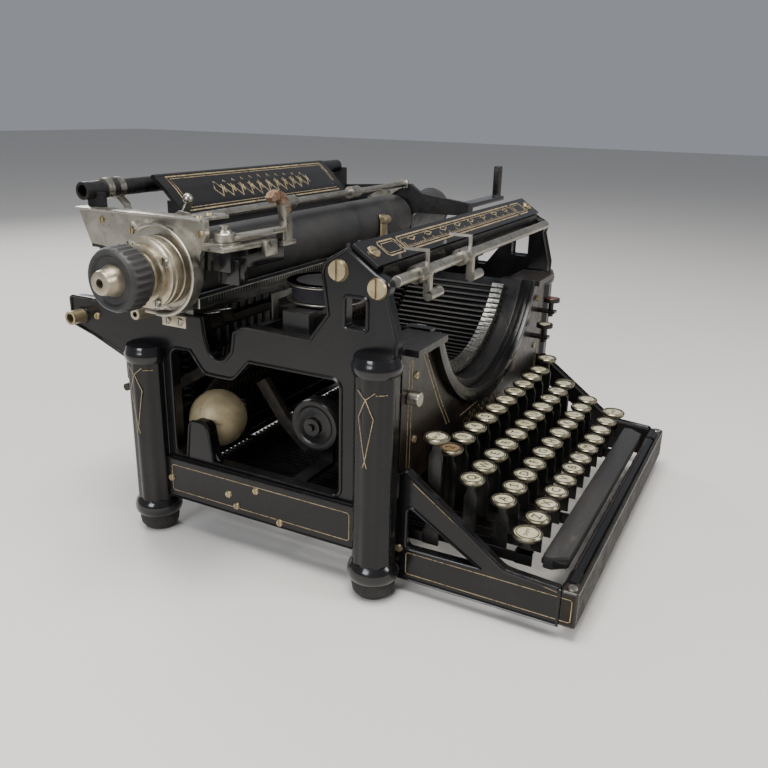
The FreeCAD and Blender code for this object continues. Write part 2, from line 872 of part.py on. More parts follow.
def spool_brackets():
    brackets = []
    for sign in (-1, 1):
        low, high = (spool_x - 12, side_in) if sign > 0 else (-side_in, -spool_x + 12)
        arm = box(
            "spool_arm%d" % sign,
            (low, -spool_y - 9, spool_low - 5),
            (high, -spool_y + 9, spool_low - 1),
        )
        pin = rod(
            "spool_pin%d" % sign,
            spool_pin_r,
            (spool_x * sign, -spool_y, spool_low - 2),
            spool_tall + 6,
            "z",
        )
        near, far = (side_in - 6, side_in) if sign > 0 else (-side_in, -side_in + 6)
        leg = box(
            "spool_leg%d" % sign,
            (near, -spool_y - 9, deck_z - 10),
            (far, -spool_y + 9, spool_low - 4),
        )
        brackets.append(fuse("spool_bracket%d" % sign, [arm, leg, pin]))
    return [group("spool_brackets", brackets)]


def ribbon_spool(name, sign):
    """Flanged spool with its wound ribbon."""
    at = (spool_x * sign, -spool_y, spool_low)
    low = rod(name + "_low", spool_r, at, 1, "z")
    high = rod(name + "_high", spool_r, (at[0], at[1], spool_low + spool_tall - 1), 1, "z")
    wound = rod(name + "_wound", spool_r - 5, at, spool_tall, "z")
    hole = rod(
        name + "_hole", spool_pin_r + gap, (at[0], at[1], spool_low - 1), spool_tall + 2, "z"
    )
    return cut(name, fuse(name + "_solid", [low, high, wound]), hole)


def bell():
    """Hollow gong on a post, and the little hammer that strikes it."""
    gong = ball("gong_ball", bell_r, (0, 0, 0))
    hollow = ball("gong_hollow", bell_r - bell_wall, (0, 0, 0))
    mouth = box("gong_mouth", (bell_r - bell_mouth, -bell_r, -bell_r), (bell_r, bell_r, bell_r))
    shell = cut("gong_shell", gong, fuse("gong_inside", [hollow, mouth]))
    stem = rod("gong_stem", bell_stem_r, (-bell_r + 1, 0, 0), bell_stem_long, "x")
    body = group("bell", [fuse("gong_solid", [shell, stem])])
    place(body, (-bell_x, bell_y, bell_z))
    post_near = -bell_x + bell_r + hammer_out
    post_far = post_near + hammer_thick
    post = box(
        "hammer_post",
        (post_near, bell_y - hammer_half, tie_low + tie_tall - 2),
        (post_far, bell_y + hammer_half, bell_z + hammer_over),
    )
    foot = box(
        "hammer_foot",
        (-rail_in, bell_y - foot_half, tie_low + tie_tall),
        (post_far, bell_y + foot_half, tie_low + tie_tall + foot_thick),
    )
    bore = rod(
        "hammer_bore", bell_stem_r + gap, (-bell_x + bell_r, bell_y, bell_z), hammer_out * 2, "x"
    )
    bracket = cut("bell_bracket", fuse("bell_bracket_solid", [post, foot]), bore)
    return body, bracket


def spring_drum():
    """Mainspring drum on its axle, and the bracket that holds the axle."""
    drum = rod("drum_disc", drum_r, (-drum_x, drum_y, drum_z), drum_wide, "x")
    hub_from = -drum_x - drum_hub_out
    hub_long = drum_wide + drum_hub_out + 2
    hub = rod("drum_hub", drum_hub_r, (hub_from, drum_y, drum_z), hub_long, "x")
    bore = rod("drum_bore", drum_pin_r + gap, (hub_from - 1, drum_y, drum_z), drum_wide * 4, "x")
    wheel = cut("mainspring_drum", fuse("drum_solid", [drum, hub]), bore)
    strut_x = -drum_x + drum_wide + strut_gap
    strut_far = strut_x + strut_thick
    pin_from = hub_from - 2
    pin = rod(
        "drum_pin", drum_pin_r, (pin_from, drum_y, drum_z), strut_far - pin_from + strut_thick, "x"
    )
    strut = box(
        "drum_strut",
        (strut_x, drum_y - strut_half, rail_top - strut_foot),
        (strut_far, drum_y + strut_half, drum_z + drum_hub_r),
    )
    foot = box(
        "drum_foot",
        (-rail_in, drum_y - strut_half, rail_top - strut_foot),
        (strut_far, drum_y + strut_half, rail_top - 1),
    )
    return wheel, fuse("drum_bracket", [pin, strut, foot])


def bell_and_drum():
    """The bell and the mainspring drum, and their brackets on the left base rail."""
    gong, gong_bracket = bell()
    wheel, wheel_bracket = spring_drum()
    return [gong, wheel, group("inner_brackets", [gong_bracket, wheel_bracket])]


# ---------------------------------------------------------------- rails, rods and screws


def rails():
    """Two rails across the deck that the carriage truck runs on."""
    pair = []
    for name, y in (("front", rail_front_y), ("rear", rail_rear_y)):
        pair.append(
            box(
                name + "_rail",
                (-side_in - side_thick, y, deck_z),
                (side_in + side_thick, y + rail_wide, deck_z + rail_tall),
            )
        )
    return [group("carriage_rails", pair)]


def rear_tube():
    """Hollow tube across the back, held in both rear arms."""
    long = post_x * 2 + rear_tube_over * 2
    at = (-long / 2, rear_tube_y, rear_tube_z)
    outer = rod("tube_outer", rear_tube_r, at, long, "x")
    inner = rod("tube_inner", rear_tube_r - rear_tube_wall, (at[0] - 1, at[1], at[2]), long + 2, "x")
    return [cut("rear_tube", outer, inner)]


def screw_row(name, spots, radius, tall):
    """Round-headed screws: each spot is a point, an axis and a direction."""
    heads = []
    for i, (at, axis, way) in enumerate(spots):
        start = list(at)
        if way < 0:
            start["xyz".index(axis)] = start["xyz".index(axis)] - tall
        heads.append(rod("%s_head%d" % (name, i), radius, start, tall, axis))
    return group(name, heads)


def screws():
    """Brass screws of the uprights, and the small screws of rails and brackets."""
    big = []
    small = []
    face = side_in + side_thick
    for sign in (-1, 1):
        for y, z in (
            (plate_top_y - upright_screw_drop, print_z + upright_screw_rise),
            (post_y - 1, print_z - upright_screw_fall),
        ):
            big.append(((face * sign, -y, z), "x", sign))
        rail_face = (rail_in + rail_thick) * sign
        for y, z in rail_screw_spots:
            small.append(((rail_face, y, z), "x", sign))
        at = (board_x * sign, -board_rear - bracket_screw_back, bracket_screw_z)
        small.append((at, "x", sign))
        for z in (panel_screw_low, panel_screw_high):
            small.append(((panel_screw_x * sign, -panel_y, z), "y", -1))
    return [
        screw_row("brass_screws", big, big_screw_r, big_screw_tall),
        screw_row("small_screws", small, small_screw_r, small_screw_tall),
    ]


def margin_stop(name, x):
    """Stop sleeve on the front rod with its pointer and finger piece."""
    y, z = -margin_y, margin_z
    half = stop_long / 2
    sleeve = rod(name + "_sleeve", margin_r + 2, (x - half, y, z), stop_long, "x")
    finger = rod(name + "_finger", 3, (x - 2, y - 6, z - 12), 16, "x")
    web = box(name + "_web", (x - 2, y - 7, z - 14), (x + 2, y - 3, z))
    pointer = box(name + "_pointer", (x - 1, y - 5, z + 1), (x + 1, y - 3.4, z + 13))
    tip = box(name + "_tip", (x - 1, y - 5, z + 12), (x + 1, y + 10, z + 13.6))
    bore = rod(name + "_bore", margin_r + gap, (x - half - 1, y, z), stop_long + 2, "x")
    return cut(name, fuse(name + "_solid", [sleeve, finger, web, pointer, tip]), bore)


def ribbon_button():
    """Small nickel button that slides up and down on the front panel."""
    at = (-121, -panel_y - 7, 118)
    return [rod("ribbon_button", 4.2, at, 6.7, "y")]


# ---------------------------------------------------------------- carriage


def shift_pin_places():
    """The two upright pins of the truck that the carriage lifts along."""
    left = carriage_x - left_reach + plate_steel + shift_pin_in
    return left, carriage_x + right_reach - shift_pin_in


def truck():
    """Bed that runs along the rails, with guide lips inside them, and its rack."""
    low = deck_z + rail_tall + glide
    bed = box(
        "truck_bed",
        (carriage_x - truck_half, rail_front_y - 1, low),
        (carriage_x + truck_half, rail_rear_y + rail_wide + 4, low + 3),
    )
    front = rail_front_y + rail_wide + glide
    rear = rail_rear_y - glide
    lips = []
    for name, y in (("front", front), ("rear", rear - 2.5)):
        lips.append(
            box(
                name + "_lip",
                (carriage_x - truck_half, y, deck_z + 2),
                (carriage_x + truck_half, y + 2.5, low),
            )
        )
    lift = box(
        "truck_well",
        (carriage_x - truck_half + 14, front + 6, low - 1),
        (carriage_x + truck_half - 14, rear - 6, low + 4),
    )
    pins = []
    for i, x in enumerate(shift_pin_places()):
        at = (x, platen_y + 48, low + 2)
        pins.append(rod("shift_pin%d" % i, shift_pin_r, at, 28, "z"))
    solid = fuse("carriage_truck", [cut("truck_cut", fuse("truck_solid", [bed] + lips), lift)] + pins)
    rack = box(
        "rack_bar",
        (carriage_x - truck_half, rail_rear_y + rail_wide + 4 + skin, low),
        (carriage_x + truck_half, rail_rear_y + rail_wide + 6.5, low + 7),
    )
    rack.Label = "carriage_rack"
    return [solid, rack]


def end_plates():
    """Nickelled left end plate with its strap, and the black right end casting."""
    y, z = platen_y, print_z
    left = plate(
        "left_plate",
        "yz",
        [
            [
                (y + 62, z + 29),
                (y + 54, z + 9),
                (y + 26, z + 7),
                (y + 24, z - 8),
                (y + 14, z - 19),
                (y - 2, z - 22),
                (y - 14, z - 18),
                (y - 23, z - 8),
                (y - 25, z + 10),
                (y - 29, z + 20),
                (y - 29, z + 29),
            ]
        ],
        plate_steel,
        (carriage_x - left_reach, 0, 0),
        [
            (2, [(y + 62, z + 29), (y - 29, z + 29), (y - 29, z + 20)]),
            (8, [(y + 24, z - 8), (y + 14, z - 19), (y - 14, z - 18), (y - 23, z - 8)]),
        ],
    )
    right = plate(
        "right_plate",
        "yz",
        [
            [
                (y + 62, z + 22),
                (y + 62, z + 8),
                (y + 26, z - 10),
                (y + 18, z - 23),
                (y - 15, z - 23),
                (y - 17, z + 4),
                (ear_y - 4, z + 5),
                (ear_y - 4, z + 15),
                (y - 24, z + 20),
                (y - 14, z + 27),
            ]
        ],
        plate_steel,
        (carriage_x + right_reach, 0, 0),
        [(4, [(y + 18, z - 23), (y + 26, z - 10), (y - 17, z + 4)])],
    )
    left_x = carriage_x - left_reach
    right_x = carriage_x + right_reach
    lever_x = left_x + plate_steel + 6
    lever_y, lever_z0 = platen_y - 34, print_z + 17
    bail_at = (left_x + plate_steel - 1, bail_pivot_y, bail_pivot_z)
    left_extras = [
        rod("left_bail_pin", bail_pin_r, bail_at, 6, "x"),
        rod("lever_pin", lever_pin_r, (lever_x, lever_y, lever_z0 - 6), 14, "z"),
        box(
            "lever_ledge",
            (left_x, lever_y - 6, lever_z0 - 4),
            (lever_x + 6, lever_y + 12, lever_z0 - glide),
        ),
    ]
    bail_at = (right_x - 3, bail_pivot_y, bail_pivot_z)
    pin_at = (right_x + plate_steel + 6, ear_y - 3, print_z + 11)
    right_extras = [
        rod("right_bail_pin", bail_pin_r, bail_at, 4, "x"),
        rod("release_pin", release_pin_r, pin_at, release_wide + 6, "y"),
    ]
    for i, y_low in enumerate((ear_y - 3, ear_y + release_wide + glide)):
        right_extras.append(
            box(
                "release_ear%d" % i,
                (right_x + plate_steel - 1, y_low, print_z + 6),
                (right_x + plate_steel + 9, y_low + 3 - glide, print_z + 14),
            )
        )
    results = []
    for name, body, x, extras in (
        ("left_carriage_plate", left, left_x, left_extras),
        ("right_carriage_plate", right, right_x, right_extras),
    ):
        bore = rod(name + "_bore", shaft_r + gap, (x - 1, y, z), plate_steel + 2, "x")
        results.append(cut(name, fuse(name + "_solid", [body] + extras), bore))
    return results


def carriage_bars():
    """Bars that tie the two end plates together, and the feed rollers."""
    x_in = carriage_x - left_reach + plate_steel
    x_out = carriage_x + right_reach
    strip = box(
        "front_strip",
        (x_in, strip_y, print_z - 21),
        (x_out, strip_y + 1.6, print_z - 15),
    )
    strip.Label = "scale_strip"
    tube = rod("tube_wall", table_tube_r, (x_in, platen_y + 48, print_z + 8), x_out - x_in, "x")
    high_at = (carriage_x - left_reach - 2, platen_y + 55, print_z + 38)
    high = rod("high_tube_wall", table_tube_r, high_at, high_tube_long, "x")
    high_bore_at = (high_at[0] - 1, high_at[1], high_at[2])
    high_bore = rod("high_tube_bore", table_tube_r - 1.6, high_bore_at, high_tube_long + 2, "x")
    stands = []
    for i, x in enumerate((x_in, x_out - 3)):
        stands.append(
            box(
                "tube_stand%d" % i,
                (x, platen_y + 46, print_z + 6),
                (x + 3, platen_y + 58, print_z + 37),
            )
        )
    blocks = []
    wells = []
    for i, x in enumerate(shift_pin_places()):
        blocks.append(
            box(
                "shift_block%d" % i,
                (x - shift_block / 2, platen_y + 42, print_z - 13),
                (x + shift_block / 2, platen_y + 54, print_z + 6),
            )
        )
        at = (x, platen_y + 48, print_z - 14)
        wells.append(rod("shift_well%d" % i, shift_pin_r + gap, at, 18, "z"))
    solid = fuse("tubes_solid", [tube, high] + stands + blocks)
    frame = cut("carriage_tubes", solid, fuse("tube_bores", wells + [high_bore]))
    rollers = []
    reach = platen_r + feed_r + feed_gap
    for i, sign in enumerate((-1, 1)):
        rollers.append(
            rod(
                "feed_roller%d" % i,
                feed_r,
                (x_in, platen_y + reach * (0.5 * sign), print_z - reach * math.cos(math.radians(30))),
                x_out - x_in,
                "x",
            )
        )
    return [strip, frame, group("feed_rollers", rollers)]


def paper_table():
    """Curved paper table behind the platen, with a rolled top edge."""
    y, z = platen_y, print_z
    band = [
        (y + platen_r + 2, z + 12),
        (y + platen_r + 4, z + 20),
        (y + 27, z + 28),
        (y + 36, z + 37),
        (y + 46, z + 45),
        (y + 48, z + 43),
        (y + 38, z + 35.4),
        (y + 29, z + 26.6),
        (y + 24, z + 19),
        (y + platen_r + 4, z + 11.6),
    ]
    smooth = [(6, [band[i] for i in (1, 2, 3, 6, 7, 8)]), (0.9, [band[4], band[5]])]
    sheet_part = plate(
        "paper_sheet", "yz", [band], table_long, (carriage_x - table_left, 0, 0), smooth
    )
    ribs = []
    for i, x in enumerate((carriage_x - table_left + 8, carriage_x - table_left + table_long - 12)):
        ribs.append(
            box(
                "table_rib%d" % i,
                (x, y + 27, z + 8),
                (x + 3, y + 48 - table_tube_r - skin, z + 29),
            )
        )
    return [fuse("paper_table", [sheet_part] + ribs)]


def paper_bail():
    """Bail rod with its two arms and the finger rollers."""
    x_left = carriage_x - left_reach + plate_steel + 3
    x_right = carriage_x + right_reach - 1
    y, z = platen_y - 10, print_z + 27
    bar = rod("bail_bar", bail_r, (x_left, y, z), x_right - x_left, "x")
    arms = []
    for i, x in enumerate((x_left, x_right - 1.6)):
        arms.append(
            plate(
                "bail_arm%d" % i,
                "yz",
                [
                    [
                        (y - 3, z - 3),
                        (y + 3, z - 3.5),
                        (bail_pivot_y - 3, bail_pivot_z - 4),
                        (bail_pivot_y + 4, bail_pivot_z - 3),
                        (bail_pivot_y + 3, bail_pivot_z + 4),
                        (y + 4, z + 4),
                        (y - 3, z + 3),
                    ]
                ],
                1.6,
                (x, 0, 0),
            )
        )
    rollers = []
    for i, x in enumerate((carriage_x - 44, carriage_x + 40)):
        rollers.append(rod("bail_roller%d" % i, 4.2, (x, y, z), 12, "x"))
    eye_at = (x_left - 1, bail_pivot_y, bail_pivot_z)
    eye = rod("bail_eyes", bail_pin_r + gap, eye_at, x_right - x_left + 2, "x")
    return [cut("paper_bail", fuse("bail_solid", [bar] + arms + rollers), eye)]


def line_space_lever():
    """Return lever on an upright pivot, with its curved finger piece."""
    x = carriage_x - left_reach + plate_steel + 6
    y, z = platen_y - 34, print_z + 17
    hub = rod("lever_hub", 6, (x, y, z), 4, "z")
    arm = box("lever_arm", (x, y - 8, z), (x + lever_reach, y - 2, z + 3))
    finger = box(
        "lever_finger", (x + lever_reach - 8, y - 9, z - 8), (x + lever_reach, y - 6, z + 26)
    )
    eye = rod("lever_eye", lever_pin_r + gap, (x, y, z - 1), 6, "z")
    lever = cut("line_space_lever", fuse("lever_solid", [hub, arm, finger]), eye)
    return [lever]


def release_arm():
    """Flat arm beyond the right end with its upright black thumb lever."""
    x = carriage_x + right_reach + plate_steel
    y, z = ear_y, print_z + 9
    arm = box("release_bar", (x + glide, y, z), (x + release_long, y + release_wide, z + 4))
    thumb = box(
        "release_thumb",
        (x + release_long - 10, y + 2, z + 4),
        (x + release_long - 3, y + 8, z + 30),
    )
    eye = rod("release_eye", release_pin_r + gap, (x + 6, y - 1, z + 2), release_wide + 2, "y")
    return [cut("release_arm", fuse("release_solid", [arm, thumb]), eye)]


def platen_parts():
    """Rubber platen on its shaft, ratchet, hub and the two knobs."""
    y, z = platen_y, print_z
    left_end = carriage_x - platen_half
    outer = carriage_x - left_reach

    def bored(name, solid, x, long):
        hole = rod(name + "_hole", shaft_r, (x - 1, y, z), Size.of(long) + 2, "x")
        return cut(name, solid, hole)

    roller = rod("roller_rubber", platen_r, (left_end, y, z), platen_half * 2, "x")
    platen = bored("platen", roller, left_end, platen_half * 2)
    shaft_at = (outer - knob_reach, y, z)
    shaft = rod("shaft_bar", shaft_r, shaft_at, shaft_long, "x")
    shaft.Label = "platen_shaft"
    ratchet_at = (left_end - 3.4, y, z)
    disc = rod("ratchet_disc", ratchet_r, ratchet_at, 3, "x")
    teeth = []
    for i in range(24):
        notch = rod(
            "ratchet_notch%d" % i,
            1.3,
            (
                ratchet_at[0] - 1,
                y + ratchet_r * math.cos(math.radians(15 * i)),
                z + ratchet_r * math.sin(math.radians(15 * i)),
            ),
            5,
            "x",
        )
        teeth.append(notch)
    toothed = cut("ratchet_toothed", disc, fuse("ratchet_notches", teeth))
    ratchet = bored("platen_ratchet", toothed, ratchet_at[0], 3)
    small_x = outer - 15
    hub_small = rod("hub_small", hub_r - 3.5, (small_x - 8, y, z), 9, "x")
    hub_large = rod("hub_large", hub_r, (small_x, y, z), 14.6, "x")
    hub = bored("line_space_hub", fuse("hub_solid", [hub_small, hub_large]), small_x - 9, 26)
    grip = rod("knob_grip", knob_r, (small_x - 25, y, z), 16.8, "x")
    boss = cone("knob_boss", 6, 8, (small_x - 32, y, z), 7, "x")
    knob = bored("left_knob", fuse("left_knob_solid", [grip, boss]), small_x - 25, 17)
    right_x = carriage_x + right_reach + plate_steel + 5
    body = cone("right_grip", knob_r - 4, knob_r, (right_x, y, z), right_knob_long, "x")
    rim_at = (right_x + right_knob_long, y, z)
    rim = rod("right_rim", knob_r + 0.6, rim_at, 2, "x")
    right = bored(
        "right_knob", fuse("right_knob_solid", [body, rim]), right_x, right_knob_long + 3
    )
    return [platen, shaft, ratchet, hub, knob, right]


# ---------------------------------------------------------------- keyboard


def key(name, x, y, top, radius):
    """A key on its lever: ringed top, flat stem, and a lever back to the fulcrum."""
    half = lever_thick / 2
    lever = box(
        name + "_lever",
        (x - half, y - stem_wide / 2, lever_z),
        (x + half, fulcrum_y + lever_tail, lever_z + lever_deep),
    )
    stem = box(
        name + "_stem",
        (x - half, y - stem_wide / 2, lever_z + lever_deep - 1),
        (x + half, y + stem_wide / 2, top - key_tall + 0.5),
    )
    cap = rod(name + "_cap", radius, (x, y, top - key_tall), key_tall, "z")
    solid = fuse(name + "_solid", [lever, stem, cap])
    eye = rod(name + "_eye", fulcrum_r + gap, (x - half - 1, fulcrum_y, fulcrum_z), 4, "x")
    return cut(name, solid, eye)


def key_rows():
    """Four staggered rows of keys, each row kept in one sub-part, and one key alone."""
    rows = []
    lone = None
    layout = (("number", 0.5, 10), ("upper", 0, 11), ("home", 0.25, 11), ("lower", 0.75, 10))
    for row, (name, shift, count) in enumerate(layout):
        keys = []
        for i in range(count):
            x = -key_first + key_pitch * (shift + i)
            y = -row_first_y - row_step_y * row
            top = row_first_z - row_step_z * row
            alone = name == "upper" and i == 6
            label = "single_key" if alone else "%s_key%d" % (name, i)
            piece = key(label, x, y, top, key_r)
            if alone:
                lone = piece
            else:
                keys.append(piece)
        rows.append(group(name + "_row_keys", keys))
    return rows + [lone]


def side_keys():
    """Shift, back space, tabulator and margin release keys at the ends of the rows."""
    return [
        key("left_shift_key", -shift_x, -shift_y, shift_z, shift_r),
        key("right_shift_key", right_shift_x, -shift_y, shift_z, shift_r),
        key("back_space_key", -back_x, -back_y, back_z, key_r),
        key("margin_release_key", margin_key_x, -row_first_y, row_first_z + 4, key_r),
        key("tabulator_key", tab_x, -tab_y, tab_z, key_r),
    ]


def space_bar():
    """Long flat bar on two arms that share the fulcrum."""
    bar = box(
        "space_blade",
        (-space_left, -space_y - space_deep / 2, space_z),
        (space_right, -space_y + space_deep / 2, space_z + space_tall),
    )
    arms = []
    eyes = []
    half = lever_thick / 2
    for i, step in enumerate((11.5, 35.5)):
        x = -key_first + key_pitch * (step / 4)
        arms.append(
            box(
                "space_arm%d" % i,
                (x - half, -space_y, lever_z),
                (x + half, fulcrum_y + lever_tail, lever_z + lever_deep),
            )
        )
        eyes.append(
            rod("space_eye%d" % i, fulcrum_r + gap, (x - 2, fulcrum_y, fulcrum_z), 4, "x")
        )
    return [cut("space_bar", fuse("space_solid", [bar] + arms), fuse("space_eyes", eyes))]


def panel_keys():
    """Two small push keys standing on curved arms at the right of the front panel."""
    pieces = []
    for name, x, z in panel_key_spots:
        y = -panel_y - panel_key_out
        cap = rod(name + "_cap", panel_key_r, (x, y, z), 3, "z")
        stalk = rod(name + "_stalk", stalk_r, (x, y, z - panel_key_drop - 3), panel_key_drop + 4, "z")
        pieces.append(fuse(name, [cap, stalk]))
    return pieces


# ---------------------------------------------------------------- assembly

nodes = []
for builder in (
    side_frame,
    rubber_feet,
    front_panel,
    rear_beam,
    base_bars,
    fulcrum,
    keyboard_frame,
    scale_plate,
    margin_rod,
    type_segment,
    typebars,
    type_rest,
    ribbon_guide,
    spool_brackets,
    bell_and_drum,
    rails,
    rear_tube,
    screws,
    ribbon_button,
    truck,
    end_plates,
    carriage_bars,
    paper_table,
    paper_bail,
    line_space_lever,
    release_arm,
    platen_parts,
    key_rows,
    side_keys,
    space_bar,
    panel_keys,
):
    nodes += builder()
nodes.append(ribbon_spool("left_ribbon_spool", -1))
nodes.append(ribbon_spool("right_ribbon_spool", 1))
nodes.append(margin_stop("left_margin_stop", -margin_stop_left))
nodes.append(margin_stop("right_margin_stop", -margin_stop_right))

doc.recompute()
faults = [o.Label for o in doc.Objects if "Invalid" in o.State or "Error" in o.State]
faults += [n.Label for n in nodes if n.Shape.isNull() or not n.Shape.isValid()]
if faults:
    raise RuntimeError("these did not build: %s" % faults)

os.makedirs("parts", exist_ok=True)
for node in nodes:
    node.Shape.exportStep("parts/%s.step" % node.Label)
    print(node.Label, len(node.Shape.Solids), round(node.Shape.Volume))
print(len(nodes), "sub-parts")
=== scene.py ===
import math

import bmesh
import bpy
from mathutils import Matrix, Vector
from mathutils.bvhtree import BVHTree


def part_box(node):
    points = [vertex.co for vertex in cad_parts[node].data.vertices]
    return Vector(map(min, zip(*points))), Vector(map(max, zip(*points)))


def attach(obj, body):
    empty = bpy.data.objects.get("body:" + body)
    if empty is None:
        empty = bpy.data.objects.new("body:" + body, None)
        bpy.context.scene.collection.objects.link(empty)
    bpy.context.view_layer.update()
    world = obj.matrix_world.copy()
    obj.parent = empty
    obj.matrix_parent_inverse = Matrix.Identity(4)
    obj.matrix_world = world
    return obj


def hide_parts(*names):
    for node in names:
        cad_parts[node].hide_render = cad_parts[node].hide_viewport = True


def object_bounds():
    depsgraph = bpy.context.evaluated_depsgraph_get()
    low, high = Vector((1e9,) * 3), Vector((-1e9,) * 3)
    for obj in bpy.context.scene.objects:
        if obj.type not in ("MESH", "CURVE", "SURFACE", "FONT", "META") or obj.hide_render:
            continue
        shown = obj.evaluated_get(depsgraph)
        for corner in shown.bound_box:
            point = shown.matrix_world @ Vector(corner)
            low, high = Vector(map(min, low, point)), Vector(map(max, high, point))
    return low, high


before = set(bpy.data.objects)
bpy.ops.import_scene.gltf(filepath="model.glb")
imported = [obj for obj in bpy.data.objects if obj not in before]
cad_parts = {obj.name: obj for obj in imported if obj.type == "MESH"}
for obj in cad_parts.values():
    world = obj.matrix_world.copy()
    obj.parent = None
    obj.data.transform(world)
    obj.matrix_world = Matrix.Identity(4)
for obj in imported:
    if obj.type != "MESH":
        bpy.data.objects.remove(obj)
cad_low, cad_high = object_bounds()

# ---------------------------------------------------------------- floor, light and camera
# The machine stands on a plain pale table in soft studio light. The camera looks down
# on its front left corner.

yaw, pitch, roll = 1.096, -0.336, 0.024
camera_place = (-0.49805, -0.26975, 0.27116)
ahead = Vector((math.sin(yaw) * math.cos(pitch), math.cos(yaw) * math.cos(pitch), math.sin(pitch)))
level = Vector((math.cos(yaw), -math.sin(yaw), 0))
upward = level.cross(ahead)
right_hand = level * math.cos(roll) + upward * math.sin(roll)
over_head = upward * math.cos(roll) - level * math.sin(roll)
camera = bpy.data.objects.new("camera", bpy.data.cameras.new("camera"))
camera.data.lens = 37.2
camera.data.sensor_width = 36
camera.data.clip_start = 0.01
camera.matrix_world = Matrix(
    [(right_hand[i], over_head[i], -ahead[i], camera_place[i]) for i in range(3)]
    + [(0, 0, 0, 1)]
)
bpy.context.collection.objects.link(camera)
bpy.context.scene.camera = camera

world = bpy.data.worlds.new("studio")
world.use_nodes = True
sky = world.node_tree.nodes["Background"]
sky.inputs["Color"].default_value = (0.80, 0.84, 0.92, 1)
sky.inputs["Strength"].default_value = 0.34
bpy.context.scene.world = world


def soft_light(name, place, target, size, power, colour):
    """A square soft box that points at a spot on the machine."""
    lamp = bpy.data.lights.new(name, "AREA")
    lamp.size = size
    lamp.energy = power
    lamp.color = colour
    holder = bpy.data.objects.new(name, lamp)
    turn = (Vector(target) - Vector(place)).to_track_quat("-Z", "Y")
    holder.matrix_world = Matrix.Translation(place) @ turn.to_matrix().to_4x4()
    bpy.context.collection.objects.link(holder)


soft_light("overhead", (-0.3, -0.1, 1.25), (0, 0, 0.1), 0.6, 22, (1, 0.97, 0.92))
soft_light("window", (-1.3, 0.1, 0.7), (0, 0, 0.12), 0.5, 10, (0.93, 0.96, 1))
soft_light("front_fill", (0.2, -1.3, 0.8), (0, 0, 0.12), 0.5, 9, (1, 0.97, 0.93))
soft_light("back_rim", (0.5, 1.1, 0.8), (0, 0, 0.15), 0.5, 9, (1, 1, 1))

floor_mesh = bpy.data.meshes.new("floor")
half = 6
floor_corners = [(-half, -half, 0), (half, -half, 0), (half, half, 0), (-half, half, 0)]
floor_mesh.from_pydata(floor_corners, [], [(0, 1, 2, 3)])
floor = bpy.data.objects.new("floor", floor_mesh)
bpy.context.collection.objects.link(floor)
floor_finish = bpy.data.materials.new("pale_floor")
floor_finish.use_nodes = True
floor_shader = floor_finish.node_tree.nodes["Principled BSDF"]
floor_shader.inputs["Base Color"].default_value = (0.66, 0.64, 0.61, 1)
floor_shader.inputs["Roughness"].default_value = 0.7
floor_mesh.materials.append(floor_finish)

# ---------------------------------------------------------------- japanned castings
# The side frames, panel, beams and brackets are grey iron, cast, filled and dipped in
# black asphalt japan that is baked hard. A hundred years of hands have worn it brown.


def worked(tree, kind, inputs, **options):
    """A new node in a tree. Each input takes a value, or another node's output."""
    node = tree.nodes.new(kind)
    for label, value in options.items():
        setattr(node, label, value)
    for label, value in inputs.items():
        if isinstance(value, bpy.types.NodeSocket):
            tree.links.new(value, node.inputs[label])
        else:
            node.inputs[label].default_value = value
    return node


def mottled(
    name,
    colour,
    second,
    worn,
    wear=0.1,
    patch=18.0,
    grain=700.0,
    rough=(0.25, 0.5),
    metal=0.0,
    bump=0.15,
    coat=0.0,
    stretch=(1, 1, 1),
    specular=0.5,
):
    """A finish whose colour drifts between two tones and is worn through in patches."""
    finish = bpy.data.materials.new(name)
    finish.use_nodes = True
    tree = finish.node_tree
    shader = tree.nodes["Principled BSDF"]
    place = worked(tree, "ShaderNodeTexCoord", {})
    turn = worked(
        tree, "ShaderNodeMapping", {"Scale": stretch, "Vector": place.outputs["Object"]}
    )

    def cloud(scale, detail, distortion=0.0):
        inputs = {"Scale": scale, "Detail": detail, "Roughness": 0.62, "Distortion": distortion}
        inputs["Vector"] = turn.outputs["Vector"]
        return worked(tree, "ShaderNodeTexNoise", inputs).outputs["Fac"]

    def spread(value, low, high, to_low=0.0, to_high=1.0):
        inputs = {"From Min": low, "From Max": high, "To Min": to_low, "To Max": to_high}
        inputs["Value"] = value
        return worked(tree, "ShaderNodeMapRange", inputs).outputs["Result"]

    def blend(share, first, other):
        tones = [tone + (1,) if isinstance(tone, tuple) else tone for tone in (first, other)]
        inputs = {0: share, 6: tones[0], 7: tones[1]}
        return worked(tree, "ShaderNodeMix", inputs, data_type="RGBA").outputs[2]

    drift = cloud(patch, 5, 0.6)
    rubbed = cloud(patch * 3.1, 8, 1.5)
    fine = cloud(grain, 3)
    tone = blend(spread(drift, 0.35, 0.68), colour, second)
    if wear > 0:
        tone = blend(spread(rubbed, 0.72 - wear * 0.55, 0.8 - wear * 0.4), tone, worn)
    tree.links.new(tone, shader.inputs["Base Color"])
    tree.links.new(spread(rubbed, 0.3, 0.7, rough[0], rough[1]), shader.inputs["Roughness"])
    shader.inputs["Metallic"].default_value = metal
    shader.inputs["Specular IOR Level"].default_value = specular
    shader.inputs["Coat Weight"].default_value = coat
    shader.inputs["Coat Roughness"].default_value = 0.12
    height = worked(tree, "ShaderNodeMath", {0: fine, 1: rubbed}, operation="ADD")
    ridges = {"Strength": bump, "Distance": 0.0003, "Height": height.outputs[0]}
    lumps = worked(tree, "ShaderNodeBump", ridges)
    tree.links.new(lumps.outputs["Normal"], shader.inputs["Normal"])
    return finish


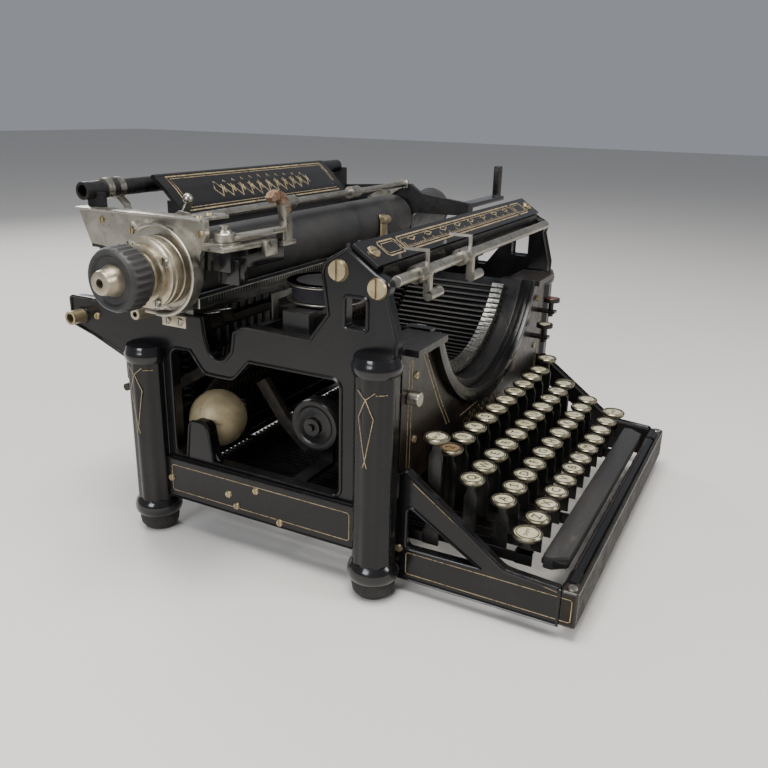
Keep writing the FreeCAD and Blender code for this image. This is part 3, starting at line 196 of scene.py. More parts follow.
japan = mottled(
    "black_japan", (0.0045, 0.0046, 0.0056), (0.010, 0.009, 0.0085), (0.035, 0.024, 0.016),
    wear=0.04, rough=(0.14, 0.32), coat=0.08, bump=0.04, specular=0.3,
)
japan_edge = mottled(
    "rubbed_japan_edge", (0.009, 0.009, 0.010), (0.028, 0.021, 0.016), (0.13, 0.095, 0.065),
    wear=0.17, patch=40, rough=(0.16, 0.4), coat=0.1, bump=0.05, specular=0.4,
)
brown_japan = mottled(
    "browned_japan", (0.006, 0.0055, 0.0055), (0.018, 0.012, 0.008), (0.05, 0.032, 0.019),
    wear=0.08, patch=30, rough=(0.24, 0.4), coat=0.08, bump=0.04, specular=0.32,
    stretch=(1, 1, 0.6),
)


def copied(node):
    """A merged copy of a CAD node's mesh, to be worked on."""
    shape = bmesh.new()
    shape.from_mesh(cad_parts[node].data)
    bmesh.ops.remove_doubles(shape, verts=shape.verts, dist=2e-6)
    bmesh.ops.dissolve_limit(
        shape, angle_limit=math.radians(0.6), verts=shape.verts, edges=shape.edges
    )
    return shape


def smoothed(mesh, angle=32):
    """Smooth shading, broken at corners sharper than the angle."""
    for face in mesh.polygons:
        face.use_smooth = True
    mesh.set_sharp_from_angle(angle=math.radians(angle))


def placed(mesh, name):
    """A new object at the origin that shows a mesh or a curve."""
    thing = bpy.data.objects.new(name, mesh)
    bpy.context.collection.objects.link(thing)
    return thing


def fitted(piece, body, slot, *nodes):
    """Lets a piece ride on its body and hides the nodes it stands for. The slot is not used."""
    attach(piece, body)
    if nodes:
        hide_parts(*nodes)
    return piece


def eased(node, body, slot, face, edge=None, width=0.0007, angle=38):
    """A node with its corners eased, the corners in a rubbed finish of their own."""
    shape = copied(node)
    mesh = bpy.data.meshes.new(node + "_eased")
    mesh.materials.append(face)
    mesh.materials.append(edge or face)
    sharp = [
        e
        for e in shape.edges
        if len(e.link_faces) == 2 and e.calc_face_angle() > math.radians(angle)
    ]
    bmesh.ops.bevel(
        shape, geom=sharp, offset=width, segments=2, profile=0.6, affect="EDGES",
        clamp_overlap=True, material=1,
    )
    bmesh.ops.triangulate(shape, faces=[f for f in shape.faces if len(f.verts) > 4])
    shape.to_mesh(mesh)
    shape.free()
    smoothed(mesh)
    piece = placed(mesh, node + "_piece")
    even = piece.modifiers.new("even_light", "WEIGHTED_NORMAL")
    even.keep_sharp = True
    return fitted(piece, body, slot, node)


for node, width in (
    ("left_side_frame", 0.0012), ("right_side_frame", 0.0012), ("rear_beam", 0.0012),
    ("base_tie_bars", 0.0008), ("keyboard_side_left", 0.0011), ("keyboard_side_right", 0.0011),
    ("scale_plate", 0.0006),
):
    eased(node, "machine_frame", "japan", japan, japan_edge, width)
eased("front_panel", "machine_frame", "japan", brown_japan, japan_edge, 0.0009)
handled_japan = mottled(
    "handled_japan", (0.008, 0.0075, 0.007), (0.022, 0.015, 0.011), (0.07, 0.047, 0.031),
    wear=0.12, patch=26, rough=(0.45, 0.75), bump=0.06, specular=0.25,
)
eased("keyboard_front_bar", "machine_frame", "japan", handled_japan, japan_edge, 0.0016)

# ---------------------------------------------------------------- fluted posts
# Each corner post is cast hollow with shallow flutes, a rolled foot bead and a glossy
# domed cap. The flutes are left thick with japan, so they shine.

post_radius = 0.0124
flute_count = 10
flute_depth = 0.00035


def turned(shape, profile, centre, axis="x", steps=48, finish=0, wave=None):
    """Adds a turned form: pairs of (distance along the axis, radius), closed at zero radius."""
    along_axis = "xyz".index(axis)
    across = [i for i in range(3) if i != along_axis]
    rings = []
    for along, radius in profile:
        ring = []
        for step in range(1 if radius == 0 else steps):
            turn = 2 * math.pi * step / steps
            reach = radius + (wave(turn, along) if wave and radius else 0)
            spot = [0.0, 0.0, 0.0]
            spot[along_axis] = centre[along_axis] + along
            spot[across[0]] = centre[across[0]] + reach * math.cos(turn)
            spot[across[1]] = centre[across[1]] + reach * math.sin(turn)
            ring.append(shape.verts.new(spot))
        rings.append(ring)
    for near, far in zip(rings, rings[1:]):
        for step in range(steps):
            after = (step + 1) % steps
            corners = [near[step % len(near)], near[after % len(near)]]
            corners += [far[after % len(far)], far[step % len(far)]]
            corners = list(dict.fromkeys(corners))
            if len(corners) > 2:
                shape.faces.new(corners).material_index = finish
    return shape


def made(shape, name, *finishes, angle=35):
    """Turns a worked mesh into a piece at the origin, faces outward."""
    bmesh.ops.recalc_face_normals(shape, faces=shape.faces)
    mesh = bpy.data.meshes.new(name)
    shape.to_mesh(mesh)
    shape.free()
    for finish in finishes:
        mesh.materials.append(finish)
    smoothed(mesh, angle)
    return placed(mesh, name)


gloss_japan = mottled(
    "thick_gloss_japan", (0.0045, 0.0045, 0.0055), (0.010, 0.009, 0.0085), (0.045, 0.03, 0.02),
    wear=0.05, rough=(0.08, 0.28), coat=0.35, bump=0.06, specular=0.35,
)
sole_rubber = mottled(
    "sole_rubber", (0.010, 0.0095, 0.009), (0.020, 0.018, 0.016), (0.05, 0.043, 0.036), wear=0.12,
    patch=60, rough=(0.6, 0.85), bump=0.2,
)
foot_half = 0.013
foot_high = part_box("rubber_feet")[1]
post_x = foot_high.x - foot_half
post_y = foot_high.y - foot_half
front_cap = 0.142
rear_cap = 0.123
flutes = bmesh.new()
caps = bmesh.new()
for side in (-1, 1):
    for end, top in ((-1, front_cap), (1, rear_cap)):
        turned(
            flutes,
            [(0.0225, 0), (0.0225, post_radius), (top - 0.004, post_radius), (top - 0.004, 0)],
            (post_x * side, post_y * end, 0), "z", steps=flute_count * 8,
            wave=lambda turn, along: flute_depth * math.cos(turn * flute_count),
        )
        turned(
            caps,
            [
                (top - 0.0055, 0), (top - 0.0055, 0.0132), (top - 0.0035, 0.0142),
                (top - 0.0005, 0.0144), (top + 0.0012, 0.0136), (top + 0.0028, 0.0133),
                (top + 0.0047, 0.0126), (top + 0.0054, 0.0095), (top + 0.0056, 0),
            ],
            (post_x * side, post_y * end, 0),
            "z",
        )
soles = bmesh.new()
for side in (-1, 1):
    for end in (-1, 1):
        turned(
            caps,
            [
                (0.0118, 0), (0.0118, 0.0138), (0.0130, 0.0148), (0.0152, 0.0154),
                (0.0178, 0.0153), (0.0202, 0.0146), (0.0218, 0.0134), (0.0228, 0.0126),
                (0.0228, 0),
            ],
            (post_x * side, post_y * end, 0),
            "z",
        )
        turned(
            soles,
            [
                (0.0, 0), (0.0, 0.0078), (0.0012, 0.0102), (0.0040, 0.0122), (0.0075, 0.0128),
                (0.0105, 0.0125), (0.0120, 0.0118), (0.0120, 0),
            ],
            (post_x * side, post_y * end, 0),
            "z",
        )
fitted(made(flutes, "post_flutes", japan), "machine_frame", "japan")
fitted(made(caps, "post_caps", gloss_japan), "machine_frame", "japan")
fitted(made(soles, "round_soles", sole_rubber), "machine_frame", "rubber", "rubber_feet")

# ---------------------------------------------------------------- gold striping
# The striper ran thin gold lines round every panel of the castings, with a crossed
# diamond on each post. Under the varnish the gold has dulled, and in places it is gone.

gold = mottled(
    "dull_gold_line", (0.42, 0.33, 0.19), (0.24, 0.18, 0.10), (0.02, 0.017, 0.013), wear=0.36,
    patch=120, rough=(0.35, 0.6), metal=0.35, bump=0.02,
)
stripe_wide = 0.00045
stripe_lift = 0.00009


def striped(shape, points, outward, closed=False, wide=stripe_wide):
    """Adds a painted line on a surface: outward gives the surface's direction at a point."""
    spots = [Vector(p) for p in points]
    pairs = []
    for i, spot in enumerate(spots):
        before = spots[i - 1] if (i or closed) else spot
        after = spots[(i + 1) % len(spots)] if (i + 1 < len(spots) or closed) else spot
        up = outward(spot).normalized()
        side = up.cross((after - before).normalized()).normalized() * wide / 2
        base = spot + up * stripe_lift
        pairs.append([shape.verts.new(base + side), shape.verts.new(base - side)])
        pairs[-1] += [shape.verts.new(v.co - up * stripe_lift) for v in pairs[-1]]
    if closed:
        pairs.append(pairs[0])
    for near, far in zip(pairs, pairs[1:]):
        shape.faces.new([near[0], near[1], far[1], far[0]])
        shape.faces.new([near[2], far[2], far[3], near[3]])
        shape.faces.new([near[0], far[0], far[2], near[2]])
        shape.faces.new([near[1], near[3], far[3], far[1]])


def cut_corners(low, high, notch):
    """The corners of a rectangle whose corners are cut off, as (u, v) pairs."""
    return [
        (low[0] + notch, low[1]), (high[0] - notch, low[1]), (high[0], low[1] + notch),
        (high[0], high[1] - notch), (high[0] - notch, high[1]), (low[0] + notch, high[1]),
        (low[0], high[1] - notch), (low[0], low[1] + notch),
    ]


lines = bmesh.new()
rail_face = 0.143
for side in (-1, 1):

    def outward(spot, side=side):
        return Vector((side, 0, 0))

    rail_frame = cut_corners((-0.0665, 0.0305), (0.0665, 0.0485), 0.0012)
    striped(lines, [(rail_face * side, y, z) for y, z in rail_frame], outward, True)
    bracket_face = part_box("keyboard_side_right")[1].x
    bracket_frame = cut_corners((-0.1965, 0.0125), (-0.0985, 0.0265), 0.001)
    striped(lines, [(bracket_face * side, y, z) for y, z in bracket_frame], outward, True)
    brace = [(-0.1015, 0.0715), (-0.1560, 0.0345), (-0.1880, 0.0290)]
    striped(lines, [(bracket_face * side, y, z) for y, z in brace], outward)
    for end, top in ((-1, front_cap), (1, rear_cap)):
        foot = (post_x * side, post_y * end, 0)

        def on_post(turn, z, foot=foot, side=side):
            reach = post_radius + flute_depth + 0.0001
            return (foot[0] + side * reach * math.cos(turn), foot[1] + reach * math.sin(turn), z)

        def round_post(spot, foot=foot):
            return Vector((spot.x - foot[0], spot.y - foot[1], 0))

        middle = top - (0.0346 if end < 0 else 0.0300)
        for sign in (-1, 1):
            diamond = [
                (-0.42, 0.022), (0.0, 0.0175), (0.36, 0.0070), (0.0, -0.0180), (-0.10, -0.022)
            ]
            for (turn_a, z_a), (turn_b, z_b) in zip(diamond, diamond[1:]):
                crossing = [
                    on_post(
                        sign * (turn_a + (turn_b - turn_a) * step / 4),
                        middle + z_a + (z_b - z_a) * step / 4,
                    )
                    for step in range(5)
                ]
                striped(lines, crossing, round_post)
        striped(
            lines, [on_post(-0.95 + i / 8, middle + 0.0205) for i in range(5)], round_post,
        )
panel_front = -0.092
ornament_z = 0.0735


def toward_typist(spot):
    return Vector((0, -1, 0))


for side in (-1, 1):
    for inset in (0.0, 0.004):
        striped(
            lines,
            [
                (side * (0.122 - inset), panel_front, 0.068),
                (side * (0.122 - inset), panel_front, 0.139),
                (side * (0.100 + inset), panel_front, 0.139),
                (side * (0.074 + inset), panel_front, 0.100),
                (side * (0.060 + inset), panel_front, 0.082),
            ],
            toward_typist,
            wide=0.0006,
        )
for i in range(9):
    x = -0.032 + 0.008 * i
    tall = 0.0042 if i % 2 else 0.0028
    ornament = [(x - 0.003, 0), (x, tall), (x + 0.003, 0), (x, -tall)]
    striped(
        lines, [(u, panel_front, ornament_z + v) for u, v in ornament], toward_typist, True,
        0.0009,
    )
for v in (-0.007, 0.007):
    ends = [(-0.042, panel_front, ornament_z + v), (0.042, panel_front, ornament_z + v)]
    striped(lines, ends, toward_typist, wide=0.0007)
fitted(made(lines, "gold_striping", gold), "machine_frame", "japan")

# ---------------------------------------------------------------- rolled casting edges
# The patterns for the frames and brackets had a round bead along every edge and opening,
# which stiffens the thin webs. The bead catches the light where hands have polished it.


def started_tree(name, inputs):
    """A new tree with named inputs, its input and output nodes and the inputs' identifiers."""
    tree = bpy.data.node_groups.new(name, "GeometryNodeTree")
    tree.interface.new_socket("Geometry", in_out="INPUT", socket_type="NodeSocketGeometry")
    known = {}
    for label, kind in inputs:
        socket = tree.interface.new_socket(label, in_out="INPUT", socket_type=kind)
        known[label] = socket.identifier
    tree.interface.new_socket("Geometry", in_out="OUTPUT", socket_type="NodeSocketGeometry")
    return tree, tree.nodes.new("NodeGroupInput"), tree.nodes.new("NodeGroupOutput"), known


def grown(name, base, tree, known, values):
    """Runs a tree on a base mesh and returns the result as a plain mesh piece."""
    holder = placed(base, name + "_base")
    grow = holder.modifiers.new("grow", "NODES")
    grow.node_group = tree
    for label, value in values.items():
        grow[known[label]] = value
    bpy.context.view_layer.update()
    depsgraph = bpy.context.evaluated_depsgraph_get()
    mesh = bpy.data.meshes.new_from_object(holder.evaluated_get(depsgraph))
    mesh.name = name
    bpy.data.objects.remove(holder)
    smoothed(mesh, 35)
    return placed(mesh, name)


def ended_tree(tree, entry, leave, geometry):
    """Ends a tree: copies are made real, take the finish and go out."""
    real = worked(tree, "GeometryNodeRealizeInstances", {"Geometry": geometry})
    finish = {"Geometry": real.outputs["Geometry"], "Material": entry.outputs["Finish"]}
    coat = worked(tree, "GeometryNodeSetMaterial", finish)
    tree.links.new(coat.outputs["Geometry"], leave.inputs["Geometry"])


bead_tree, entry, leave, bead_inputs = started_tree(
    "bead_along_edges", [("Bead radius", "NodeSocketFloat"), ("Finish", "NodeSocketMaterial")]
)
paths = worked(bead_tree, "GeometryNodeMeshToCurve", {"Mesh": entry.outputs["Geometry"]})
ring = {"Resolution": 8, "Radius": entry.outputs["Bead radius"]}
section = worked(bead_tree, "GeometryNodeCurvePrimitiveCircle", ring)
sweep = {
    "Fill Caps": True, "Curve": paths.outputs["Curve"], "Profile Curve": section.outputs["Curve"],
}
swept = worked(bead_tree, "GeometryNodeCurveToMesh", sweep)
ended_tree(bead_tree, entry, leave, swept.outputs["Mesh"])
bead_room = 0.0013


def casting_edges(node, way, level):
    """The edges round a node's flat faces that look one way at one distance out."""
    shape = copied(node)
    way = Vector(way)
    flat = {
        f
        for f in shape.faces
        if f.normal.dot(way) > 0.999 and abs(f.calc_center_median().dot(way) - level) < 0.0004
    }
    edges = [e for e in shape.edges if sum(f in flat for f in e.link_faces) == 1]
    corners = list(dict.fromkeys(v for e in edges for v in e.verts))
    place = {v: i for i, v in enumerate(corners)}
    mesh = bpy.data.meshes.new(node + "_outline")
    pairs = [(place[e.verts[0]], place[e.verts[1]]) for e in edges]
    inside = [Vector((v.co.x, min(v.co.y, cad_high.y - bead_room), v.co.z)) for v in corners]
    mesh.from_pydata(inside, pairs, [])
    shape.free()
    return mesh


for side, node in ((-1, "left_side_frame"), (1, "right_side_frame")):
    for level, radius in ((0.140, 0.0011), (0.143, 0.0008)):
        values = {"Bead radius": radius, "Finish": japan}
        edges = casting_edges(node, (side, 0, 0), level)
        millimetres = round(level * 1000)
        name = "%s_bead_%d" % (node, millimetres)
        fitted(grown(name, edges, bead_tree, bead_inputs, values), "machine_frame", "japan")
for side, node in ((-1, "keyboard_side_left"), (1, "keyboard_side_right")):
    values = {"Bead radius": 0.0012, "Finish": japan}
    edges = casting_edges(node, (side, 0, 0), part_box("keyboard_side_right")[1].x)
    fitted(grown(node + "_bead", edges, bead_tree, bead_inputs, values), "machine_frame", "japan")


band_sides = 12


def band(shape, points, across, wide, thick, finish=0):
    """A flat strip bent along a path: across is the direction of its width."""
    spots = [Vector(p) for p in points]
    across = Vector(across).normalized()
    rings = []
    for i, spot in enumerate(spots):
        share = i / (len(spots) - 1)
        along = (spots[min(i + 1, len(spots) - 1)] - spots[max(i - 1, 0)]).normalized()
        up = along.cross(across).normalized()
        half = across * (wide(share) if callable(wide) else wide) / 2
        lift = up * (thick(share) if callable(thick) else thick) / 2
        ring = []
        for turn in range(band_sides):
            angle = 2 * math.pi * (turn + 0.5) / band_sides
            squared = max(abs(math.cos(angle)), abs(math.sin(angle))) ** 0.7
            corner = spot + half * math.cos(angle) / squared + lift * math.sin(angle) / squared
            ring.append(shape.verts.new(corner))
        rings.append(ring)
    for near, far in zip(rings, rings[1:]):
        for step in range(band_sides):
            after = (step + 1) % band_sides
            face = shape.faces.new([near[step], near[after], far[after], far[step]])
            face.material_index = finish
    shape.faces.new(rings[0]).material_index = finish
    shape.faces.new(rings[-1]).material_index = finish


rim = bmesh.new()
rim_start, rim_end, rim_steps, rim_wide, rim_centre_z = 203, 337, 96, 0.005, 0.185
for radius, front, thick in ((0.0990, -0.0945, 0.0075), (0.0955, -0.0920, 0.0040)):
    arc = []
    for step in range(rim_steps + 1):
        turn = math.radians(rim_start + (rim_end - rim_start) * step / rim_steps)
        arc.append((radius * math.cos(turn), front, rim_centre_z + radius * math.sin(turn)))
    band(rim, arc, (0, 1, 0), rim_wide, thick)
fitted(made(rim, "basket_rim_bead", japan, angle=60), "machine_frame", "japan")

# ---------------------------------------------------------------- metal, rubber and enamel
# Rods and plates are steel, nickelled or blacked. Rails, feet and small castings keep the
# shape that the design gives them, each screwed or pinned to the castings.

nickel = mottled(
    "worn_nickel", (0.47, 0.45, 0.39), (0.30, 0.28, 0.24), (0.17, 0.125, 0.08), wear=0.13,
    patch=45, rough=(0.22, 0.5), metal=1.0, bump=0.1,
)
dull_steel = mottled(
    "dull_steel", (0.24, 0.23, 0.21), (0.12, 0.115, 0.105), (0.10, 0.065, 0.04), wear=0.16,
    patch=60, rough=(0.35, 0.6), metal=1.0,
)
dark_steel = mottled(
    "oiled_dark_steel", (0.045, 0.043, 0.041), (0.022, 0.021, 0.02), (0.09, 0.06, 0.04), wear=0.1,
    patch=80, rough=(0.3, 0.55), metal=0.8,
)
old_brass = mottled(
    "old_brass", (0.45, 0.37, 0.22), (0.30, 0.25, 0.16), (0.13, 0.10, 0.07), wear=0.2, patch=70,
    rough=(0.28, 0.55), metal=0.85,
)
enamel = mottled(
    "black_enamel", (0.007, 0.007, 0.008), (0.015, 0.0135, 0.0125), (0.05, 0.038, 0.028),
    wear=0.1, patch=50, rough=(0.22, 0.5), coat=0.12, specular=0.35,
)
hard_rubber = mottled(
    "hard_rubber", (0.014, 0.014, 0.015), (0.030, 0.029, 0.028), (0.055, 0.05, 0.045), wear=0.08,
    patch=35, rough=(0.4, 0.65), bump=0.2,
)

for node, body, slot, face, width in (
    ("fulcrum_rod", "machine_frame", "steel", dull_steel, 0.0004),
    ("margin_rod", "machine_frame", "nickel", nickel, 0.0004),
    ("type_segment", "machine_frame", "steel", dark_steel, 0.0),
    ("type_rest", "machine_frame", "black_steel", enamel, 0.0005),
    ("ribbon_guide", "machine_frame", "steel", dull_steel, 0.0002),
    ("spool_brackets", "machine_frame", "black_steel", enamel, 0.0005),
    ("inner_brackets", "machine_frame", "black_steel", enamel, 0.0004),
    ("carriage_rails", "machine_frame", "steel", dull_steel, 0.0006),
    ("left_margin_stop", "left_stop", "nickel", nickel, 0.0003),
    ("right_margin_stop", "right_stop", "nickel", nickel, 0.0003),
    ("carriage_truck", "truck", "black_steel", enamel, 0.0005),
    ("right_carriage_plate", "carriage", "black_steel", enamel, 0.0006),
    ("carriage_tubes", "carriage", "black_steel", enamel, 0.0004),
    ("feed_rollers", "carriage", "rubber", hard_rubber, 0.0003),
    ("paper_bail", "bail", "nickel", nickel, 0.0003),
    ("platen", "platen", "rubber", hard_rubber, 0.0006),
    ("platen_shaft", "platen", "steel", dull_steel, 0.0003),
    ("platen_ratchet", "platen", "steel", dull_steel, 0.0),
    ("right_knob", "platen", "hard_rubber", hard_rubber, 0.0006),
    ("ribbon_button", "ribbon_button", "nickel", nickel, 0.0005),
    ("carriage_rack", "truck", "steel", dull_steel, 0.0002),
):
    eased(node, body, slot, face, None, width)
eased("scale_strip", "carriage", "nickel", enamel, nickel, 0.0005)

# ---------------------------------------------------------------- screws
# Cheese-head screws with a sawn slot hold the castings: big brass ones through the
# uprights, small ones in the rails. They are turned from bar and left bright.


screw_tree, entry, leave, screw_inputs = started_tree(
    "slotted_screws",
    [
        ("Head radius", "NodeSocketFloat"), ("Head height", "NodeSocketFloat"),
        ("Slot width", "NodeSocketFloat"), ("Finish", "NodeSocketMaterial"),
    ],
)
radius_in, height_in = entry.outputs["Head radius"], entry.outputs["Head height"]
shrink = worked(screw_tree, "ShaderNodeMath", {0: radius_in, 1: 0.84}, operation="MULTIPLY")
head_sizes = {
    "Vertices": 28, "Side Segments": 1, "Radius Bottom": radius_in,
    "Radius Top": shrink.outputs[0], "Depth": height_in,
}
head = worked(screw_tree, "GeometryNodeMeshCone", head_sizes)
length = worked(screw_tree, "ShaderNodeMath", {0: radius_in, 1: 3}, operation="MULTIPLY")
saw_sizes = {0: length.outputs[0], 1: entry.outputs["Slot width"], 2: height_in}
saw_size = worked(screw_tree, "ShaderNodeCombineXYZ", saw_sizes)
saw = worked(screw_tree, "GeometryNodeMeshCube", {"Size": saw_size.outputs[0]})
saw_place = worked(screw_tree, "ShaderNodeCombineXYZ", {2: height_in})
move = {"Geometry": saw.outputs["Mesh"], "Translation": saw_place.outputs[0]}
lowered = worked(screw_tree, "GeometryNodeTransform", move)
sawn = {"Mesh 1": head.outputs["Mesh"], "Mesh 2": lowered.outputs["Geometry"]}
slotted = worked(screw_tree, "GeometryNodeMeshBoolean", sawn, operation="DIFFERENCE")
facing = worked(
    screw_tree, "GeometryNodeInputNamedAttribute", {"Name": "facing"}, data_type="FLOAT_VECTOR"
)
way_out = {"Vector": facing.outputs["Attribute"]}
turn = worked(screw_tree, "FunctionNodeAlignRotationToVector", way_out, axis="Z")
set_in = {
    "Points": entry.outputs["Geometry"], "Instance": slotted.outputs["Mesh"],
    "Rotation": turn.outputs["Rotation"],
}
at_points = worked(screw_tree, "GeometryNodeInstanceOnPoints", set_in)
ended_tree(screw_tree, entry, leave, at_points.outputs["Instances"])


def places_mesh(name, places):
    """Points with a direction each, for a tree to set pieces at."""
    mesh = bpy.data.meshes.new(name)
    mesh.from_pydata([spot for spot, facing in places], [], [])
    facing = mesh.attributes.new("facing", "FLOAT_VECTOR", "POINT")
    facing.data.foreach_set("vector", [n for spot, way in places for n in way])
    return mesh


def screws(name, body, slot, places, radius, height, finish, *nodes):
    """Slotted screws at a list of (place, direction) pairs."""
    values = {
        "Head radius": radius, "Head height": height, "Slot width": radius * 0.26,
        "Finish": finish,
    }
    piece = grown(name, places_mesh(name, places), screw_tree, screw_inputs, values)
    return fitted(piece, body, slot, *nodes)


web_face = 0.140
left_right = ((-1, Vector((-1, 0, 0))), (1, Vector((1, 0, 0))))
brass_places = [
    ((web_face * side, y, z), way)
    for side, way in left_right
    for y, z in ((-0.0572, 0.189), (-0.0810, 0.182))
]
big_head = (0.0062, 0.0024, old_brass)
screws("upright_screws", "machine_frame", "brass", brass_places, *big_head, "brass_screws")
small_places = []
for side, way in left_right:
    for y, z in (
        (0.0670, 0.0390), (0.0207, 0.0386), (0.0148, 0.0317), (-0.0005, 0.0460),
        (-0.0178, 0.0288),
    ):
        small_places.append(((rail_face * side, y, z), way))
    small_places.append(((bracket_face * side, -0.0937, 0.028), way))
    for z in (0.090, 0.129):
        small_places.append(((0.113 * side, panel_front, z), Vector((0, -1, 0))))
    small_places.append(((web_face * side, 0.124, 0.139), way))
small_head = (0.0024, 0.0011, old_brass)
screws("rail_screws", "machine_frame", "brass", small_places, *small_head, "small_screws")

# ---------------------------------------------------------------- keys
# A key is a nickelled ring crimped round a paper letter and a disc of celluloid, on a
# blacked steel stem that steps into its long lever. The letters have yellowed.

ivory = mottled(
    "yellowed_card", (0.56, 0.53, 0.38), (0.36, 0.33, 0.19), (0.20, 0.15, 0.07), wear=0.26,
    patch=130, grain=900, rough=(0.12, 0.3), coat=0.9, bump=0.03,
)
browned_card = mottled(
    "browned_card", (0.20, 0.13, 0.06), (0.12, 0.075, 0.035), (0.06, 0.04, 0.02), wear=0.3,
    patch=150, rough=(0.5, 0.75),
)
ring_nickel = mottled(
    "key_ring_nickel", (0.27, 0.25, 0.19), (0.14, 0.125, 0.09), (0.07, 0.05, 0.03), wear=0.3,
    patch=120, rough=(0.22, 0.45), metal=1.0,
)
letter_ink = mottled(
    "letter_ink", (0.012, 0.011, 0.010), (0.03, 0.026, 0.02), (0.12, 0.10, 0.07), wear=0.08,
    patch=200, rough=(0.3, 0.5),
)
key_pitch = 0.01905
key_height = 0.0036
single_low, single_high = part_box("single_key")
key_radius = (single_high.x - single_low.x) / 2

row_tree, entry, leave, row_inputs = started_tree(
    "pieces_in_a_row",
    [
        ("Count", "NodeSocketInt"), ("First place", "NodeSocketVector"),
        ("Step", "NodeSocketVector"), ("Piece", "NodeSocketObject"),
        ("Finish", "NodeSocketMaterial"),
    ],
)
line_sizes = {
    "Count": entry.outputs["Count"], "Start Location": entry.outputs["First place"],
    "Offset": entry.outputs["Step"],
}
spots = worked(row_tree, "GeometryNodeMeshLine", line_sizes)
pattern = worked(row_tree, "GeometryNodeObjectInfo", {"Object": entry.outputs["Piece"]})
set_in = {"Points": spots.outputs["Mesh"], "Instance": pattern.outputs["Geometry"]}
at_spots = worked(row_tree, "GeometryNodeInstanceOnPoints", set_in)
ended_tree(row_tree, entry, leave, at_spots.outputs["Instances"])


def in_a_row(name, pattern_piece, count, first, step, finish):
    """Repeats a pattern piece along a line, as one plain mesh."""
    values = {
        "Count": count, "First place": first, "Step": step, "Piece": pattern_piece,
        "Finish": finish,
    }
    return grown(name, bpy.data.meshes.new(name), row_tree, row_inputs, values)


def row_of(name, body, slot, shape, count, first, step, finish):
    """A row of one worked mesh, as one piece that rides on its body."""
    sample = made(shape, name + "_pattern")
    fitted(in_a_row(name, sample, count, first, step, finish), body, slot)
    bpy.data.objects.remove(sample)


def slab(shape, outline, axis, low, high, finish=0, ease=0.0003):
    """Adds a flat piece with eased corners: an outline in the other two axes, in X, Y, Z order."""
    along = "xyz".index(axis)
    across = [i for i in range(3) if i != along]
    layers = []
    for level in (low, high):
        layer = []
        for u, v in outline:
            spot = [0.0, 0.0, 0.0]
            spot[along], spot[across[0]], spot[across[1]] = level, u, v
            layer.append(shape.verts.new(spot))
        layers.append(layer)
    faces = [shape.faces.new(layers[0]), shape.faces.new(layers[1])]
    for i in range(len(outline)):
        j = (i + 1) % len(outline)
        faces.append(
            shape.faces.new([layers[0][i], layers[0][j], layers[1][j], layers[1][i]])
        )
    for face in faces:
        face.material_index = finish
    if ease:
        bmesh.ops.recalc_face_normals(shape, faces=faces)
        edges = list(dict.fromkeys(e for f in faces for e in f.edges))
        bmesh.ops.bevel(
            shape, geom=edges, offset=ease, segments=2, profile=0.6, affect="EDGES",
            clamp_overlap=True,
        )


def key_ring(centre, radius):
    """The turned nickel ring, with its flat back."""
    return turned(
        bmesh.new(),
        [
            (-0.0036, 0), (-0.0036, radius - 0.0016), (-0.0028, radius - 0.0005),
            (-0.0014, radius), (-0.0007, radius - 0.0001), (-0.0001, radius - 0.0007),
            (-0.0003, radius - 0.0013), (-0.0008, radius - 0.0014), (-0.0009, 0),
        ],
        centre,
        "z",
        steps=32,
    )


def key_card(centre, radius):
    """The domed disc over the paper letter."""
    return turned(
        bmesh.new(),
        [
            (-0.0010, 0), (-0.0010, radius - 0.00145), (-0.00055, radius - 0.00145),
            (-0.0003, radius * 0.6), (-0.0002, 0),
        ],
        centre,
        "z",
        steps=32,
    )


def key_line(centre, radius):
    """The printed circle that borders the card."""
    inner, outer = radius * 0.70, radius * 0.76
    profile = [(-0.0005, inner), (-0.00018, inner), (-0.00022, outer), (-0.0005, outer)]
    return turned(bmesh.new(), profile + profile[:1], centre, "z", steps=32)


def key_stem(shape, x, y, top, radius, lever_low, lever_rear):
    """The flat stem, stepped below the ring, and the lever that runs back to the fulcrum."""
    under = top - key_height
    slab(
        shape,
        [
            (y - 0.0040, lever_low + 0.010), (y + 0.0050, lever_low + 0.010),
            (y + 0.0040, lever_low + 0.013), (y + 0.0040, under - 0.009),
            (y + 0.0022, under - 0.005), (y + 0.0022, under), (y - 0.0022, under),
            (y - 0.0022, under - 0.005), (y - 0.0040, under - 0.009),
        ],
        "x",
        x - 0.0012,
        x + 0.0012,
        ease=0.0003,
    )
    slab(
        shape,
        [
            (y - 0.0040, lever_low), (y + 0.0060, lever_low), (y + 0.0060, lever_low + 0.008),
            (y + 0.0045, lever_low + 0.0115), (y - 0.0040, lever_low + 0.0115),
        ],
        "x",
        x - 0.00065,
        x + 0.00065,
        ease=0.0001,
    )
    slab(
        shape,
        [
            (y + 0.0055, lever_low + 0.0005), (lever_rear, lever_low),
            (lever_rear, lever_low + 0.007), (y + 0.0055, lever_low + 0.0065),
        ],
        "x",
        x - 0.00065,
        x + 0.00065,
        ease=0.0,
    )
    turned(
        shape,
        [
            (-0.0045, 0), (-0.0045, 0.0016), (-0.0040, 0.0026), (-0.0033, radius * 0.62),
            (-0.0033, 0),
        ],
        (x, y, top), "z", steps=12,
    )


